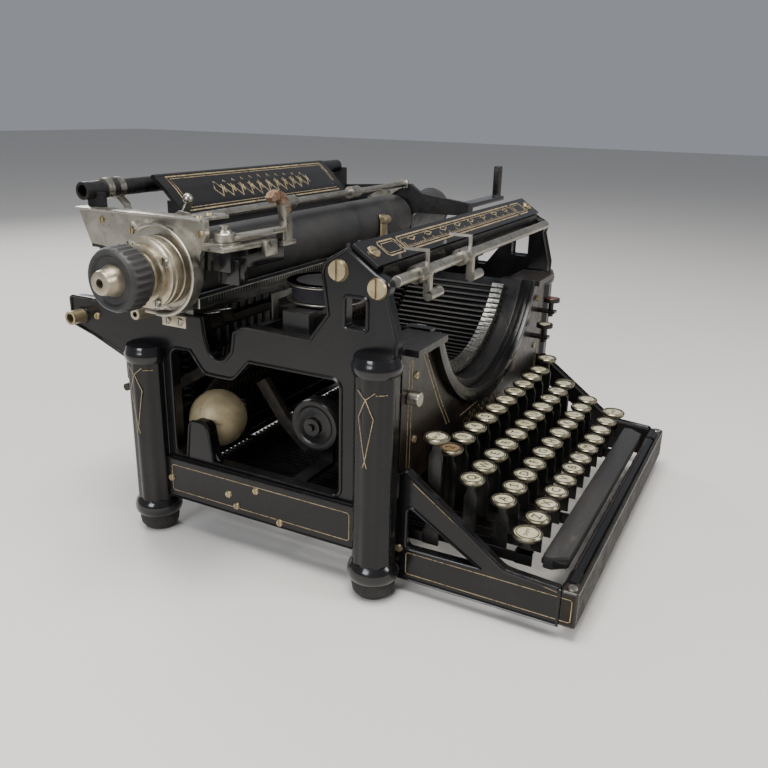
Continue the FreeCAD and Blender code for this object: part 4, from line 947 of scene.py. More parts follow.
def letters(name, signs, size, tops, body):
    """Inked signs that lie on the cards, one mesh for the row."""
    shape = bmesh.new()
    for sign, (x, y, z) in zip(signs, tops):
        curve = bpy.data.curves.new("sign", "FONT")
        curve.body = sign
        curve.size = size if len(sign) == 1 else size * 0.42
        curve.align_x = "CENTER"
        curve.align_y = "CENTER"
        curve.extrude = 0.00004
        curve.resolution_u = 2
        holder = placed(curve, "sign")
        mesh = bpy.data.meshes.new_from_object(
            holder.evaluated_get(bpy.context.evaluated_depsgraph_get())
        )
        mesh.transform(Matrix.Translation((x, y, z - 0.0002)))
        shape.from_mesh(mesh)
        bpy.data.objects.remove(holder)
    mesh = bpy.data.meshes.new(name)
    shape.to_mesh(mesh)
    shape.free()
    mesh.materials.clear()
    mesh.materials.append(letter_ink)
    return fitted(placed(mesh, name), body, "key_ivory")


ring_pattern = made(key_ring((0, 0, 0), key_radius), "ring_pattern")
card_pattern = made(key_card((0, 0, 0), key_radius), "card_pattern")
line_pattern = made(key_line((0, 0, 0), key_radius), "line_pattern")
letter_height = 0.0080
single_place = 6
fulcrum_low, fulcrum_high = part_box("fulcrum_rod")
lever_rear = fulcrum_high.y + 0.0035
lever_low = (fulcrum_low.z + fulcrum_high.z) / 2 - 0.0035

for node, body, signs in (
    ("number_row_keys", "number_keys", "234567890-"),
    ("upper_row_keys", "upper_keys", "QWERTYUIOP/"),
    ("home_row_keys", "home_keys", "ASDFGHJKL;'"), ("lower_row_keys", "lower_keys", "ZXCVBNM,.?"),
):
    row_low, row_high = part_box(node)
    y = row_low.y + key_radius
    if node == "upper_row_keys":
        y = single_low.y + key_radius
    first = Vector((row_low.x + key_radius, y, row_high.z))
    count = round((row_high.x - row_low.x - 2 * key_radius) / key_pitch) + 1
    step = Vector((key_pitch, 0, 0))
    tops = [first + step * i for i in range(count)]
    levers = bmesh.new()
    kept = [i for i in range(count) if not (node == "upper_row_keys" and i == single_place)]
    for i in kept:
        key_stem(levers, tops[i].x, y, first.z, key_radius, lever_low, lever_rear)
    fitted(made(levers, body + "_levers", dark_steel), body, "key_ivory", node)
    runs = [(0, count, ivory)]
    if len(kept) < count:
        after = single_place + 1
        runs = [(0, single_place, ivory), (after, count - after, ivory)]
    if node == "number_row_keys":
        runs = [(0, 1, browned_card), (1, count - 1, ivory)]
    for part, (start, many, card_finish) in enumerate(runs):
        for word, pattern_piece, finish in (
            ("rings", ring_pattern, ring_nickel), ("cards", card_pattern, card_finish),
            ("lines", line_pattern, letter_ink),
        ):
            name = "%s_%s_%d" % (body, word, part)
            piece = in_a_row(name, pattern_piece, many, tops[start], step, finish)
            fitted(piece, body, "key_ivory")
    row_signs = [signs[i] for i in kept]
    letters(body + "_letters", row_signs, letter_height, [tops[i] for i in kept], body)

for node, body, sign in (
    ("single_key", "single_key", "U"), ("left_shift_key", "left_shift", "SHIFT"),
    ("right_shift_key", "right_shift", "SHIFT"), ("back_space_key", "back_space", "BACK"),
    ("margin_release_key", "margin_release", "REL"), ("tabulator_key", "tabulator", "TAB"),
):
    low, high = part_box(node)
    radius = (high.x - low.x) / 2
    top = Vector(((low.x + high.x) / 2, low.y + radius, high.z))
    lever = bmesh.new()
    key_stem(lever, top.x, top.y, top.z, radius, lever_low, lever_rear)
    fitted(made(lever, body + "_lever", dark_steel), body, "key_ivory", node)
    for word, built, finish in (
        ("ring", key_ring, ring_nickel), ("card", key_card, ivory),
        ("line", key_line, letter_ink),
    ):
        fitted(made(built(top, radius), body + "_" + word, finish), body, "key_ivory")
    letters(body + "_letter", [sign], letter_height, [top], body)
for pattern_piece in (ring_pattern, card_pattern, line_pattern):
    bpy.data.objects.remove(pattern_piece)

# ---------------------------------------------------------------- typebars
# Forty-one forged steel bars hang in the slotted ring. They are blacked with oil, and only
# the type slugs at their ends, two characters one above the other, are left bright.

slug_steel = mottled(
    "bright_slug", (0.55, 0.54, 0.50), (0.36, 0.35, 0.32), (0.10, 0.09, 0.08), wear=0.2,
    patch=300, rough=(0.2, 0.4), metal=1.0,
)
blued_steel = mottled(
    "blacked_bars", (0.009, 0.009, 0.0095), (0.020, 0.018, 0.016), (0.10, 0.085, 0.07), wear=0.12,
    patch=150, rough=(0.4, 0.65), metal=0.2,
)
platen_low, platen_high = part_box("platen")
print_axis_z = (platen_low.z + platen_high.z) / 2
bar_reach = 0.086
bar_nose_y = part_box("typebars")[0].y
bar_turn = math.radians(3.02)
slug_reach = 0.0085

for node, body in (("typebars", "machine_frame"), ("centre_typebar", "centre_typebar")):
    piece = eased(node, body, "steel", blued_steel, slug_steel, 0.00012)
    for face in piece.data.polygons:
        face.material_index = 1 if face.center.y < bar_nose_y + slug_reach else 0

slugs = {"machine_frame": bmesh.new(), "centre_typebar": bmesh.new()}
for i in range(-20, 21):
    body = "machine_frame" if i else "centre_typebar"
    shape = slugs[body]
    known = set(shape.verts)
    for low, tall, thin in (
        (0.0008, 0.0022, 0.0021), (0.0034, 0.0022, 0.0021), (0.0, 0.0062, 0.0014),
    ):
        slab(
            shape,
            [
                (-thin / 2, bar_nose_y - 0.0004), (thin / 2, bar_nose_y - 0.0004),
                (thin / 2, bar_nose_y + 0.0052), (-thin / 2, bar_nose_y + 0.0052),
            ],
            "z",
            -bar_reach + low + 0.0002,
            -bar_reach + low + tall,
            ease=0.0,
        )
    fresh = [v for v in shape.verts if v not in known]
    bmesh.ops.rotate(
        shape, verts=fresh, cent=(0, 0, 0), matrix=Matrix.Rotation(bar_turn * i, 3, "Y")
    )
    bmesh.ops.translate(shape, verts=fresh, vec=(0, 0, print_axis_z))
for body, shape in slugs.items():
    fitted(made(shape, body + "_slugs", slug_steel), body, "steel")

# A dark japanned sheet curved under the typebar fan, so the gaps between the bars look black:
# painted shade for the dim works below them.
shade_sheet = bmesh.new()
hollow = []
shade_sheet_radius, shade_sheet_middle_y, shade_sheet_steps = 0.0925, -0.0365, 64
for step in range(shade_sheet_steps + 1):
    turn = math.radians(204 + 132 * step / shade_sheet_steps)
    x = shade_sheet_radius * math.cos(turn)
    hollow.append((x, shade_sheet_middle_y, print_axis_z + shade_sheet_radius * math.sin(turn)))
band(shade_sheet, hollow, (0, 1, 0), 0.084, 0.0012)
fitted(made(shade_sheet, "basket_liner", japan), "machine_frame", "japan")

# ---------------------------------------------------------------- works inside the frame
# Behind the basket run the shafts, the wire links that pull the typebars and the springs
# that lift the keys. They are oiled steel, black with old oil and dust.

oily = mottled(
    "oily_works", (0.020, 0.018, 0.016), (0.055, 0.045, 0.034), (0.11, 0.075, 0.045), wear=0.14,
    patch=90, rough=(0.35, 0.65), metal=0.55,
)
works = bmesh.new()
inner_half = 0.1325
for y, z, radius in (
    (0.098, 0.118, 0.0032), (0.112, 0.090, 0.0026), (0.016, 0.128, 0.0026), (0.104, 0.062, 0.003),
):
    profile = [(-inner_half, 0), (-inner_half, radius), (inner_half, radius), (inner_half, 0)]
    turned(works, profile, (0, y, z), "x", steps=14)
turns, turn_steps, coil_radius = 9, 12, 0.0035
for x in (-0.088, -0.060, 0.060, 0.088):
    coil = []
    for step in range(turn_steps * turns + 1):
        turn = 2 * math.pi * step / turn_steps
        y = 0.098 + coil_radius * math.sin(turn)
        coil.append((x + coil_radius * math.cos(turn), y, 0.066 + 0.00044 * step))
    band(works, coil, (0, 0, 1), 0.0011, 0.0011)
for side in (-1, 1):
    long_bar = [(0.118, 0.102, 0.078), (0.118, 0.050, 0.112), (0.118, 0.004, 0.130)]
    band(works, [(side * x, y, z) for x, y, z in long_bar], (1, 0, 0), 0.004, 0.007)
    short_bar = [(0.094, 0.028, 0.099), (0.092, 0.012, 0.074), (0.090, -0.006, 0.056)]
    band(works, [(side * x, y, z) for x, y, z in short_bar], (1, 0, 0), 0.006, 0.009)
    for x in (0.112, 0.101):
        bent = [(side * x, 0.096, 0.117), (side * x, 0.070, 0.137), (side * x, 0.045, 0.143)]
        band(works, bent, (1, 0, 0), 0.0025, 0.008)
fitted(made(works, "inner_shafts", oily), "machine_frame", "steel")

link_pattern = bmesh.new()
band(
    link_pattern,
    [(0, 0.078, 0.042), (0, 0.079, 0.070), (0, 0.074, 0.083), (0, 0.060, 0.099), (0, 0.056, 0.118)],
    (1, 0, 0), 0.0011, 0.0016,
)
link_count, link_step, link_start = 41, Vector((0.0049, 0, 0)), Vector((-0.098, 0, 0))
frame_steel = ("machine_frame", "steel")
row_of("typebar_links", *frame_steel, link_pattern, link_count, link_start, link_step, oily)

# The dark slats, the two rails and the low shelf close the back and bottom of the frame: partly the
# crowded works, partly painted shade inside the frame.
slat_pattern = bmesh.new()
slab(
    slat_pattern,
    [
        (-0.005, 0.036), (0.005, 0.036), (0.005, 0.139), (0.0025, 0.146), (-0.0025, 0.146),
        (-0.005, 0.139),
    ],
    "y",
    0.1035,
    0.1055,
    ease=0.0004,
)
slat_count, slat_step, slat_start = 24, Vector((0.0105, 0, 0)), Vector((-0.1208, 0, 0))
frame_japan = ("machine_frame", "japan")
row_of("rear_guard_slats", *frame_japan, slat_pattern, slat_count, slat_start, slat_step, japan)
shade_rails = bmesh.new()
for low, high in ((0.0340, 0.0410), (0.1330, 0.1390)):
    rail = [(-inner_half, low), (inner_half, low), (inner_half, high), (-inner_half, high)]
    slab(shade_rails, rail, "y", 0.1052, 0.1082, ease=0.0007)
shade_shelf = [(-inner_half, 0.0718), (inner_half, 0.0718), (inner_half, 0.1056)]
shade_shelf.append((-inner_half, 0.1056))
slab(shade_rails, shade_shelf, "z", 0.0345, 0.0358, ease=0.0003)
fitted(made(shade_rails, "rear_guard_rails", japan), "machine_frame", "japan")

# ---------------------------------------------------------------- left platen knob and hub
# The knob is moulded hard rubber with a fluted rim on a bronze boss. It drives the platen
# through a clutch hub, a stack of turned discs that three fillister screws clamp together.

bronze = mottled(
    "pale_bronze", (0.52, 0.47, 0.37), (0.34, 0.29, 0.21), (0.15, 0.11, 0.07), wear=0.16,
    patch=90, rough=(0.25, 0.5), metal=0.9,
)
# Near black for the bottom of the bore in the knob boss: painted shade in the hole.
bore_shade = mottled(
    "painted_bore_shade", (0.004, 0.004, 0.004), (0.010, 0.009, 0.008), (0.03, 0.02, 0.015), wear=0.05,
    rough=(0.6, 0.9),
)
axis_y = (platen_low.y + platen_high.y) / 2
platen_axis = (0, axis_y, print_axis_z)
knob = bmesh.new()


def knob_flutes(turn, along):
    """Twenty-eight shallow flutes on the grip's middle."""
    return 0.00042 * math.cos(turn * 28) if -0.2090 < along < -0.1990 else 0


turned(
    knob,
    [
        (-0.2098, 0), (-0.2098, 0.0090), (-0.2103, 0.0122), (-0.2117, 0.0134), (-0.2120, 0.0147),
        (-0.2112, 0.0159), (-0.2098, 0.0166), (-0.2088, 0.0168), (-0.1996, 0.0168),
        (-0.1986, 0.0164), (-0.1966, 0.0152), (-0.1954, 0.0146), (-0.1954, 0),
    ],
    platen_axis,
    "x",
    steps=168,
    wave=knob_flutes,
)
fitted(made(knob, "left_knob_grip", hard_rubber), "platen", "hard_rubber", "left_knob")
boss = bmesh.new()
turned(
    boss,
    [
        (-0.2140, 0), (-0.2140, 0.0022), (-0.2187, 0.0024), (-0.2189, 0.0048), (-0.2185, 0.0060),
        (-0.2170, 0.0065), (-0.2130, 0.0072), (-0.2105, 0.0084), (-0.2095, 0.0086), (-0.2095, 0),
    ],
    platen_axis,
    "x",
    steps=40,
)
# A near-black disc at the bottom of the bore: painted shade in the hole.
bore = [(-0.2145, 0), (-0.2145, 0.0021), (-0.2138, 0.0021), (-0.2138, 0)]
turned(boss, bore, platen_axis, "x", 20, 1)
fitted(made(boss, "left_knob_boss", bronze, bore_shade), "platen", "nickel")

hub = bmesh.new()
turned(
    hub,
    [
        (-0.1953, 0), (-0.1953, 0.0118), (-0.1948, 0.0124), (-0.1915, 0.0124), (-0.1912, 0.0140),
        (-0.1908, 0.0154), (-0.1894, 0.0155), (-0.1890, 0.0151), (-0.1876, 0.0151),
        (-0.1874, 0.0178), (-0.1868, 0.0190), (-0.1850, 0.0191), (-0.1846, 0.0184),
        (-0.1838, 0.0184), (-0.1834, 0.0190), (-0.1790, 0.0190), (-0.1786, 0.0182),
        (-0.1776, 0.0182), (-0.1772, 0.0190), (-0.1728, 0.0190), (-0.1724, 0.0184), (-0.1724, 0),
    ],
    platen_axis,
    "x",
    steps=64,
)
fitted(made(hub, "clutch_hub_discs", bronze), "platen", "nickel", "line_space_hub")
hub_screws = []
screw_circle = 0.0168
for turn in (0.5, 2.1, 3.6, 5.2):
    y = axis_y - screw_circle * math.cos(turn)
    z = print_axis_z + screw_circle * math.sin(turn)
    hub_screws.append(((-0.1874, y, z), Vector((-1, 0, 0))))
screws("clutch_hub_screws", "platen", "nickel", hub_screws, 0.0024, 0.0018, nickel)

# ---------------------------------------------------------------- left end of the carriage
# A stamped steel plate closes the carriage, plated with nickel that has gone cloudy. A
# strap curls round the hub, and small screwed plates carry the lever and the feed links.

eased("left_carriage_plate", "carriage", "nickel", nickel, None, 0.0009)
end_parts = bmesh.new()
hoop = []
hoop_x, hoop_radius, hoop_steps = -0.1745, 0.0244, 32
for step in range(hoop_steps + 1):
    turn = math.radians(118 - 215 * step / hoop_steps)
    y = axis_y - hoop_radius * math.cos(turn)
    hoop.append((hoop_x, y, print_axis_z + hoop_radius * math.sin(turn)))
hoop = [(hoop_x, hoop[0][1] + 0.0040, hoop[0][2] + 0.0026)] + hoop
band(end_parts, hoop, (1, 0, 0), 0.0082, 0.0022)
top_flange = [(0.006, 0.2128), (0.094, 0.2128), (0.096, 0.2141), (0.006, 0.2141)]
slab(end_parts, top_flange, "x", hoop_x, -0.1640)
for outline_xy, low, high in (
    (
        [
            (-0.1760, -0.0100), (-0.1620, -0.0125), (-0.1480, -0.0135), (-0.1345, -0.0100),
            (-0.1345, -0.0045), (-0.1500, 0.0050), (-0.1680, 0.0075), (-0.1760, 0.0060),
        ],
        0.1983,
        0.2008,
    ),
    (
        [(-0.1470, -0.0160), (-0.1365, -0.0160), (-0.1365, -0.0125), (-0.1470, -0.0125)], 0.1930,
        0.2012,
    ),
    (
        [
            (-0.1690, 0.0090), (-0.1500, 0.0060), (-0.1440, 0.0150), (-0.1560, 0.0230),
            (-0.1690, 0.0230),
        ],
        0.2122,
        0.2140,
    ),
):
    slab(end_parts, outline_xy, "z", low, high)
post_foot = [(0.1985, 0), (0.1985, 0.0040), (0.2120, 0.0034), (0.2145, 0.0034), (0.2145, 0)]
turned(end_parts, post_foot, (-0.1650, 0.0140, 0), "z", steps=20)
band(
    end_parts,
    [
        (-0.1500, 0.0850, 0.2180), (-0.1560, 0.0740, 0.2150), (-0.1650, 0.0640, 0.2120),
        (-0.1690, 0.0560, 0.2060),
    ],
    (1, 0.4, 0),
    0.0090,
    0.0016,
)
band(
    end_parts, [(-0.1530, 0.0420, 0.2060), (-0.1510, 0.0360, 0.2130), (-0.1500, 0.0340, 0.2180)],
    (1, 0, 0), 0.0060, 0.0016,
)
for ring_x in (-0.1570, -0.1480):
    ring = [(-0.0022, 0.0050), (-0.0022, 0.0060), (0.0022, 0.0060), (0.0022, 0.0050)]
    turned(end_parts, ring, (ring_x, 0.089, 0.2232), "x", steps=28)
turned(
    end_parts,
    [
        (-0.0030, 0), (-0.0026, 0.0017), (-0.0012, 0.0028), (0.0004, 0.0030), (0.0020, 0.0023),
        (0.0030, 0.0010), (0.0032, 0),
    ],
    (-0.1500, 0.0340, 0.2205),
    "z",
    steps=20,
)
fitted(made(end_parts, "left_end_plates", nickel), "carriage", "nickel")
lever_seat = bmesh.new()
slab(
    lever_seat,
    [
        (-0.1670, -0.0070), (-0.1180, -0.0080), (-0.1130, 0.0020), (-0.1180, 0.0070),
        (-0.1670, 0.0100),
    ],
    "z", 0.1860, 0.1982, ease=0.0012,
)
slab(
    lever_seat, [(-0.1640, -0.0100), (-0.1560, -0.0100), (-0.1560, 0.0050), (-0.1640, 0.0050)],
    "z", 0.1790, 0.1930, ease=0.0012,
)
fitted(made(lever_seat, "lever_seat_casting", gloss_japan), "carriage", "black_steel")
plate_screws = [
    ((-0.1690, 0.0110, 0.2140), Vector((0, 0, 1))),
    ((-0.1560, 0.0150, 0.2140), Vector((0, 0, 1))),
    ((-0.1720, 0.0560, 0.2040), Vector((-1, 0, 0))),
    ((-0.1720, 0.0780, 0.2080), Vector((-1, 0, 0))),
    ((-0.1720, 0.0080, 0.2060), Vector((-1, 0, 0))),
]
screws("left_end_screws", "carriage", "nickel", plate_screws, 0.0022, 0.0010, old_brass)

feed_foot = bmesh.new()
foot_x = -0.1672
upright = [(0.0260, 0.1510), (0.0432, 0.1510), (0.0432, 0.1580), (0.0260, 0.1580)]
slab(feed_foot, upright, "x", foot_x, -0.1655)
ledge = [(0.0420, 0.1564), (0.0560, 0.1564), (0.0560, 0.1580), (0.0420, 0.1580)]
slab(feed_foot, ledge, "x", foot_x, -0.1430)
rod_end = [(-0.1690, 0.0016), (-0.1690, 0.0033), (-0.1675, 0.0036)]
rod_end += [(-0.1560, 0.0036), (-0.1560, 0.0016)]
turned(feed_foot, rod_end, (0, 0.0620, 0.1548), "x", steps=24)
fitted(made(feed_foot, "left_feed_foot", bronze), "truck", "nickel")
foot_screws = [((foot_x, y, 0.1544), Vector((-1, 0, 0))) for y in (0.0300, 0.0390)]
screws("feed_foot_screws", "truck", "nickel", foot_screws, 0.0024, 0.0011, nickel)

# ---------------------------------------------------------------- line space lever
# A forged arm on a shouldered screw, ending in a curled finger piece. The plating is gone
# from the curl, where the typist's hand pulled it, and the steel has rusted.

rusty = mottled(
    "rusted_plating", (0.42, 0.38, 0.32), (0.26, 0.16, 0.09), (0.16, 0.075, 0.035), wear=0.6,
    patch=120, rough=(0.35, 0.75), metal=0.6,
)
pivot_x, pivot_y, arm_low = -0.162, 0.0, 0.202
lever = bmesh.new()
turned(
    lever, [(0, 0.0026), (0, 0.0060), (0.0040, 0.0060), (0.0044, 0.0056), (0.0044, 0.0026)],
    (pivot_x, pivot_y, arm_low), "z", steps=32,
)
band(
    lever,
    [
        (-0.1620, -0.0030, 0.2037), (-0.1500, -0.0046, 0.2037), (-0.1350, -0.0054, 0.2037),
        (-0.1220, -0.0060, 0.2037), (-0.1130, -0.0066, 0.2037),
    ],
    (0, 1, 0),
    lambda share: 0.0090 - 0.0030 * share,
    0.0028,
)
for left, right, near, far, low, high in (
    (-0.1235, -0.1105, -0.0110, -0.0030, 0.1950, 0.1975),
    (-0.1210, -0.1130, -0.0090, -0.0040, 0.1970, 0.2052),
):
    slab(lever, [(left, near), (right, near), (right, far), (left, far)], "z", low, high)
horn = [
    (-0.1160, -0.0072, 0.1965), (-0.1156, -0.0072, 0.2020), (-0.1156, -0.0072, 0.2080),
    (-0.1162, -0.0072, 0.2135), (-0.1180, -0.0072, 0.2185), (-0.1212, -0.0072, 0.2222),
    (-0.1250, -0.0072, 0.2236), (-0.1282, -0.0070, 0.2228), (-0.1300, -0.0068, 0.2208),
]
band(lever, horn[:5], (0, 1, 0), lambda share: 0.0062 - 0.0006 * share, 0.0068)
band(
    lever, horn[3:], (0, 1, 0), lambda share: 0.0058 - 0.0010 * share,
    lambda share: 0.0068 - 0.0020 * share, 1,
)
fitted(made(lever, "line_space_arm", nickel, rusty), "return_lever", "nickel", "line_space_lever")
cap = [((pivot_x, pivot_y, arm_low + 0.0042), Vector((0, 0, 1)))]
screws("line_space_cap", "return_lever", "nickel", cap, 0.0042, 0.0016, nickel)

# ---------------------------------------------------------------- paper table
# A wide tin sheet behind the platen, japanned like the frame. Its top edge is rolled over a
# wire, and the striper put a gold border and a small ornament on it.


def surface_of(node):
    """A search tree over a node's faces, for laying paint on them."""
    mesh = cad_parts[node].data
    return BVHTree.FromPolygons(
        [v.co.copy() for v in mesh.vertices], [tuple(p.vertices) for p in mesh.polygons]
    )


def laid(shape, tree, points, way, closed=False, wide=0.0006):
    """Paints a line where rays that run one way first meet a surface."""
    way = Vector(way).normalized()
    spots = []
    for point in points:
        met = tree.ray_cast(Vector(point) - way * 0.05, way)
        if met[0]:
            spots.append(met[0])
    if len(spots) > 1:
        striped(shape, spots, lambda spot: -way, closed, wide)


eased("paper_table", "carriage", "black_steel", gloss_japan, japan_edge, 0.0004)
table_low, table_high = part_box("paper_table")
roll = bmesh.new()
roll_radius = 0.0018
profile = [(table_low.x + 0.0004, 0), (table_low.x, roll_radius)]
profile += [(table_high.x, roll_radius), (table_high.x - 0.0004, 0)]
turned(roll, profile, (0, 0.0795, 0.2277), "x", steps=16)
fitted(made(roll, "paper_table_roll", gloss_japan), "carriage", "black_steel")
table_face = surface_of("paper_table")
into_table = (0, 0.78, -0.62)


def on_table(x, share):
    """A place on the table's slope, at a share of its height."""
    return (x, 0.054 + 0.026 * share, 0.197 + 0.033 * share)


border = bmesh.new()
for inset, wide in ((0.0, 0.0009), (0.0022, 0.0004)):
    frame_line = []
    low, high = -0.120 + inset, 0.055 - inset
    bottom, top = 0.30 + inset * 20, 0.92 - inset * 20
    for i in range(12):
        frame_line.append(on_table(low + (high - low) * i / 12, bottom))
    for i in range(3):
        frame_line.append(on_table(high, bottom + (top - bottom) * i / 3))
    for i in range(12):
        frame_line.append(on_table(high - (high - low) * i / 12, top))
    for i in range(3):
        frame_line.append(on_table(low, top - (top - bottom) * i / 3))
    laid(border, table_face, frame_line, into_table, True, wide)
for i in range(11):
    x = -0.0825 + 0.010 * i
    tall = 0.20 - 0.012 * abs(i - 5)
    corners = ((-0.004, 0), (0, tall), (0.004, 0), (0, -tall))
    diamond = [on_table(x + across, 0.6 + rise) for across, rise in corners]
    laid(border, table_face, diamond, into_table, True, 0.0011)
    small = [on_table(x + 0.005, 0.52), on_table(x + 0.005, 0.68)]
    laid(border, table_face, small, into_table, False, 0.0009)
fitted(made(border, "paper_table_gold", gold), "carriage", "black_steel")

# ---------------------------------------------------------------- front scale plate
# The sloping plate in front of the type basket holds the margin scale. It is japanned, with
# a gilt border and a row of marks, and one oval screw holds each end.

plate_face = surface_of("scale_plate")
plate_slope = math.radians(34)
down_slope = Vector((0, -math.cos(plate_slope), -math.sin(plate_slope)))
into_plate = Vector((0, math.sin(plate_slope), -math.cos(plate_slope)))


def on_plate(x, reach):
    """A place on the plate, at a distance down from its top edge."""
    return Vector((x, -0.0647, 0.2037)) + down_slope * reach


gilt = bmesh.new()
for low, high, near, far in (
    (-0.119, -0.099, 0.0035, 0.0145), (-0.096, 0.096, 0.0035, 0.0145),
    (0.099, 0.119, 0.0035, 0.0145),
):
    for inset, wide in ((0.0, 0.0010), (0.0018, 0.0004)):
        corners = cut_corners((low + inset, near + inset), (high - inset, far - inset), 0.0016)
        laid(gilt, plate_face, [on_plate(x, v) for x, v in corners], into_plate, True, wide)
for i in range(75):
    x = -0.0925 + 0.0025 * i
    tall = 0.0042 if i % 10 == 0 else (0.0030 if i % 5 == 0 else 0.0018)
    mark = [on_plate(x, 0.0128), on_plate(x, 0.0128 - tall)]
    laid(gilt, plate_face, mark, into_plate, False, 0.0006)
for i in range(8):
    x = -0.0800 + 0.0230 * i
    corners = ((-0.0050, 0.0068), (0, 0.0052), (0.0050, 0.0068), (0, 0.0084))
    lozenge = [on_plate(x + across, reach) for across, reach in corners]
    laid(gilt, plate_face, lozenge, into_plate, True, 0.0010)
fitted(made(gilt, "scale_plate_gilt", gold), "machine_frame", "japan")
ends = [(on_plate(x, 0.009) - into_plate * 0.0002, -into_plate) for x in (-0.1290, 0.1290)]
screws("scale_plate_screws", "machine_frame", "brass", ends, 0.0040, 0.0012, old_brass)

# ---------------------------------------------------------------- carriage scale and rack
# The nickelled scale in front of the platen is graduated in black. The rack behind it has
# one tooth for each letter space.

strip_low, strip_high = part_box("scale_strip")
tick_pattern = bmesh.new()
tick = [(-0.0002, -0.0022), (0.0002, -0.0022), (0.0002, 0), (-0.0002, 0)]
slab(tick_pattern, tick, "y", -0.00012, 0.0001, ease=0)
letter_space = Vector((0.00254, 0, 0))
row_of(
    "carriage_scale_ticks", "carriage", "nickel", tick_pattern, 88,
    Vector((strip_low.x + 0.008, strip_low.y, strip_high.z - 0.0006)), letter_space, nickel,
)
rack_low, rack_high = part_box("carriage_rack")
tooth_pattern = bmesh.new()
tooth = [(-0.0009, 0), (0.0009, 0), (0.0002, 0.0019), (-0.0002, 0.0019)]
slab(tooth_pattern, tooth, "z", 0, 0.0045, ease=0)
row_of(
    "carriage_rack_teeth", "truck", "steel", tooth_pattern,
    int((rack_high.x - rack_low.x - 0.004) / 0.00254),
    Vector((rack_low.x + 0.003, rack_high.y, rack_low.z + 0.0012)), letter_space, dull_steel,
)
line_finder = bmesh.new()
band(
    line_finder,
    [
        (0.048, 0.0158, 0.1710), (0.048, 0.0142, 0.1790), (0.048, 0.0144, 0.1880),
        (0.048, 0.0160, 0.1935),
    ],
    (1, 0, 0), lambda share: 0.0120 - 0.0020 * share, 0.0010,
)
turned(
    line_finder,
    [
        (-0.0052, 0), (-0.0052, 0.0022), (-0.0030, 0.0030), (0.0030, 0.0030),
        (0.0052, 0.0022), (0.0052, 0),
    ],
    (0.048, 0.0128, 0.1900), "x", steps=20,
)
fitted(made(line_finder, "paper_finger", old_brass), "carriage", "brass")

# ---------------------------------------------------------------- paper release arm
# A japanned arm along the carriage's right end, hinged between two ears, with a curved thumb
# piece at its tip.

eased("release_arm", "release_lever", "black_steel", gloss_japan, japan_edge, 0.0009)

# ---------------------------------------------------------------- space bar and front bar
# The space bar is a shaped hardwood bar, stained dark, screwed to two arms. In front of it
# runs the round-topped front bar with its sleeve and end screw.

worn_wood = mottled(
    "dark_stained_bar", (0.017, 0.0165, 0.0165), (0.032, 0.029, 0.028), (0.065, 0.052, 0.042),
    wear=0.16, patch=40, rough=(0.35, 0.6), coat=0.1, stretch=(0.15, 1, 1),
)
eased("space_bar", "space_bar", "black_steel", dark_steel, None, 0.0002)
bar_low, bar_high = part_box("space_bar")
front = bar_low.y - 0.0002
rear = front + 0.0136
bar = bmesh.new()
slab(
    bar,
    [
        (bar_low.x - 0.0004, rear - 0.0010), (bar_low.x - 0.0004, front + 0.0080),
        (bar_low.x + 0.0060, front), (bar_high.x - 0.0060, front),
        (bar_high.x + 0.0004, front + 0.0080), (bar_high.x + 0.0004, rear - 0.0010),
        (bar_high.x - 0.0006, rear), (bar_low.x + 0.0006, rear),
    ],
    "z",
    bar_high.z - 0.0078,
    bar_high.z + 0.0004,
    ease=0.0013,
)
fitted(made(bar, "space_bar_wood", worn_wood), "space_bar", "hard_rubber")
front_low, front_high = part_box("keyboard_front_bar")
sleeve = bmesh.new()
top_line = (0, front_high.y - 0.0035, front_high.z - 0.0034)
profile = [(-0.124, 0), (-0.1236, 0.0036), (0.1236, 0.0036), (0.124, 0)]
turned(sleeve, profile, top_line, "x", steps=24)
for low in (-0.1225, 0.1085):
    collar = [(low, 0), (low + 0.0005, 0.0046), (low + 0.0135, 0.0046), (low + 0.014, 0)]
    turned(sleeve, collar, top_line, "x", steps=28)
fitted(made(sleeve, "front_bar_tube", japan), "machine_frame", "japan")
screw_y = front_low.y + 0.0045
front_screws = [((x, screw_y, front_high.z), Vector((0, 0, 1))) for x in (-0.127, 0.127)]
screws("front_bar_screws", "machine_frame", "brass", front_screws, 0.0028, 0.0012, nickel)

# ---------------------------------------------------------------- bell and mainspring drum
# The bell is spun brass, once nickelled, now the colour of old bone. Beside it the drum that
# pulls the carriage is bolted through a cast fork.

bone_brass = mottled(
    "tarnished_bell", (0.50, 0.41, 0.25), (0.33, 0.265, 0.155), (0.16, 0.12, 0.08), wear=0.22,
    patch=75, rough=(0.42, 0.68), metal=0.35, bump=0.25,
)
eased("bell", "machine_frame", "brass", bone_brass, None, 0.0002)
eased("mainspring_drum", "spring_drum", "black_steel", enamel, dark_steel, 0.0006)
drum_low, drum_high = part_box("mainspring_drum")
drum_y = (drum_low.y + drum_high.y) / 2
drum_z = (drum_low.z + drum_high.z) / 2
drum_r = (drum_high.z - drum_low.z) / 2
cover = bmesh.new()
turned(
    cover,
    [
        (-0.0012, 0.0058), (-0.0012, 0.0068), (-0.0006, 0.0078), (-0.0002, 0.0120),
        (-0.0009, 0.0132), (-0.0013, drum_r - 0.0022), (-0.0010, drum_r - 0.0006),
        (0.0003, drum_r + 0.0003), (0.0020, drum_r + 0.0004), (0.0020, drum_r - 0.001),
        (0.0012, 0.0058),
    ],
    (drum_low.x + 0.004, drum_y, drum_z),
    "x",
    steps=56,
)
fitted(made(cover, "drum_cover", enamel), "spring_drum", "black_steel")
lug = bmesh.new()
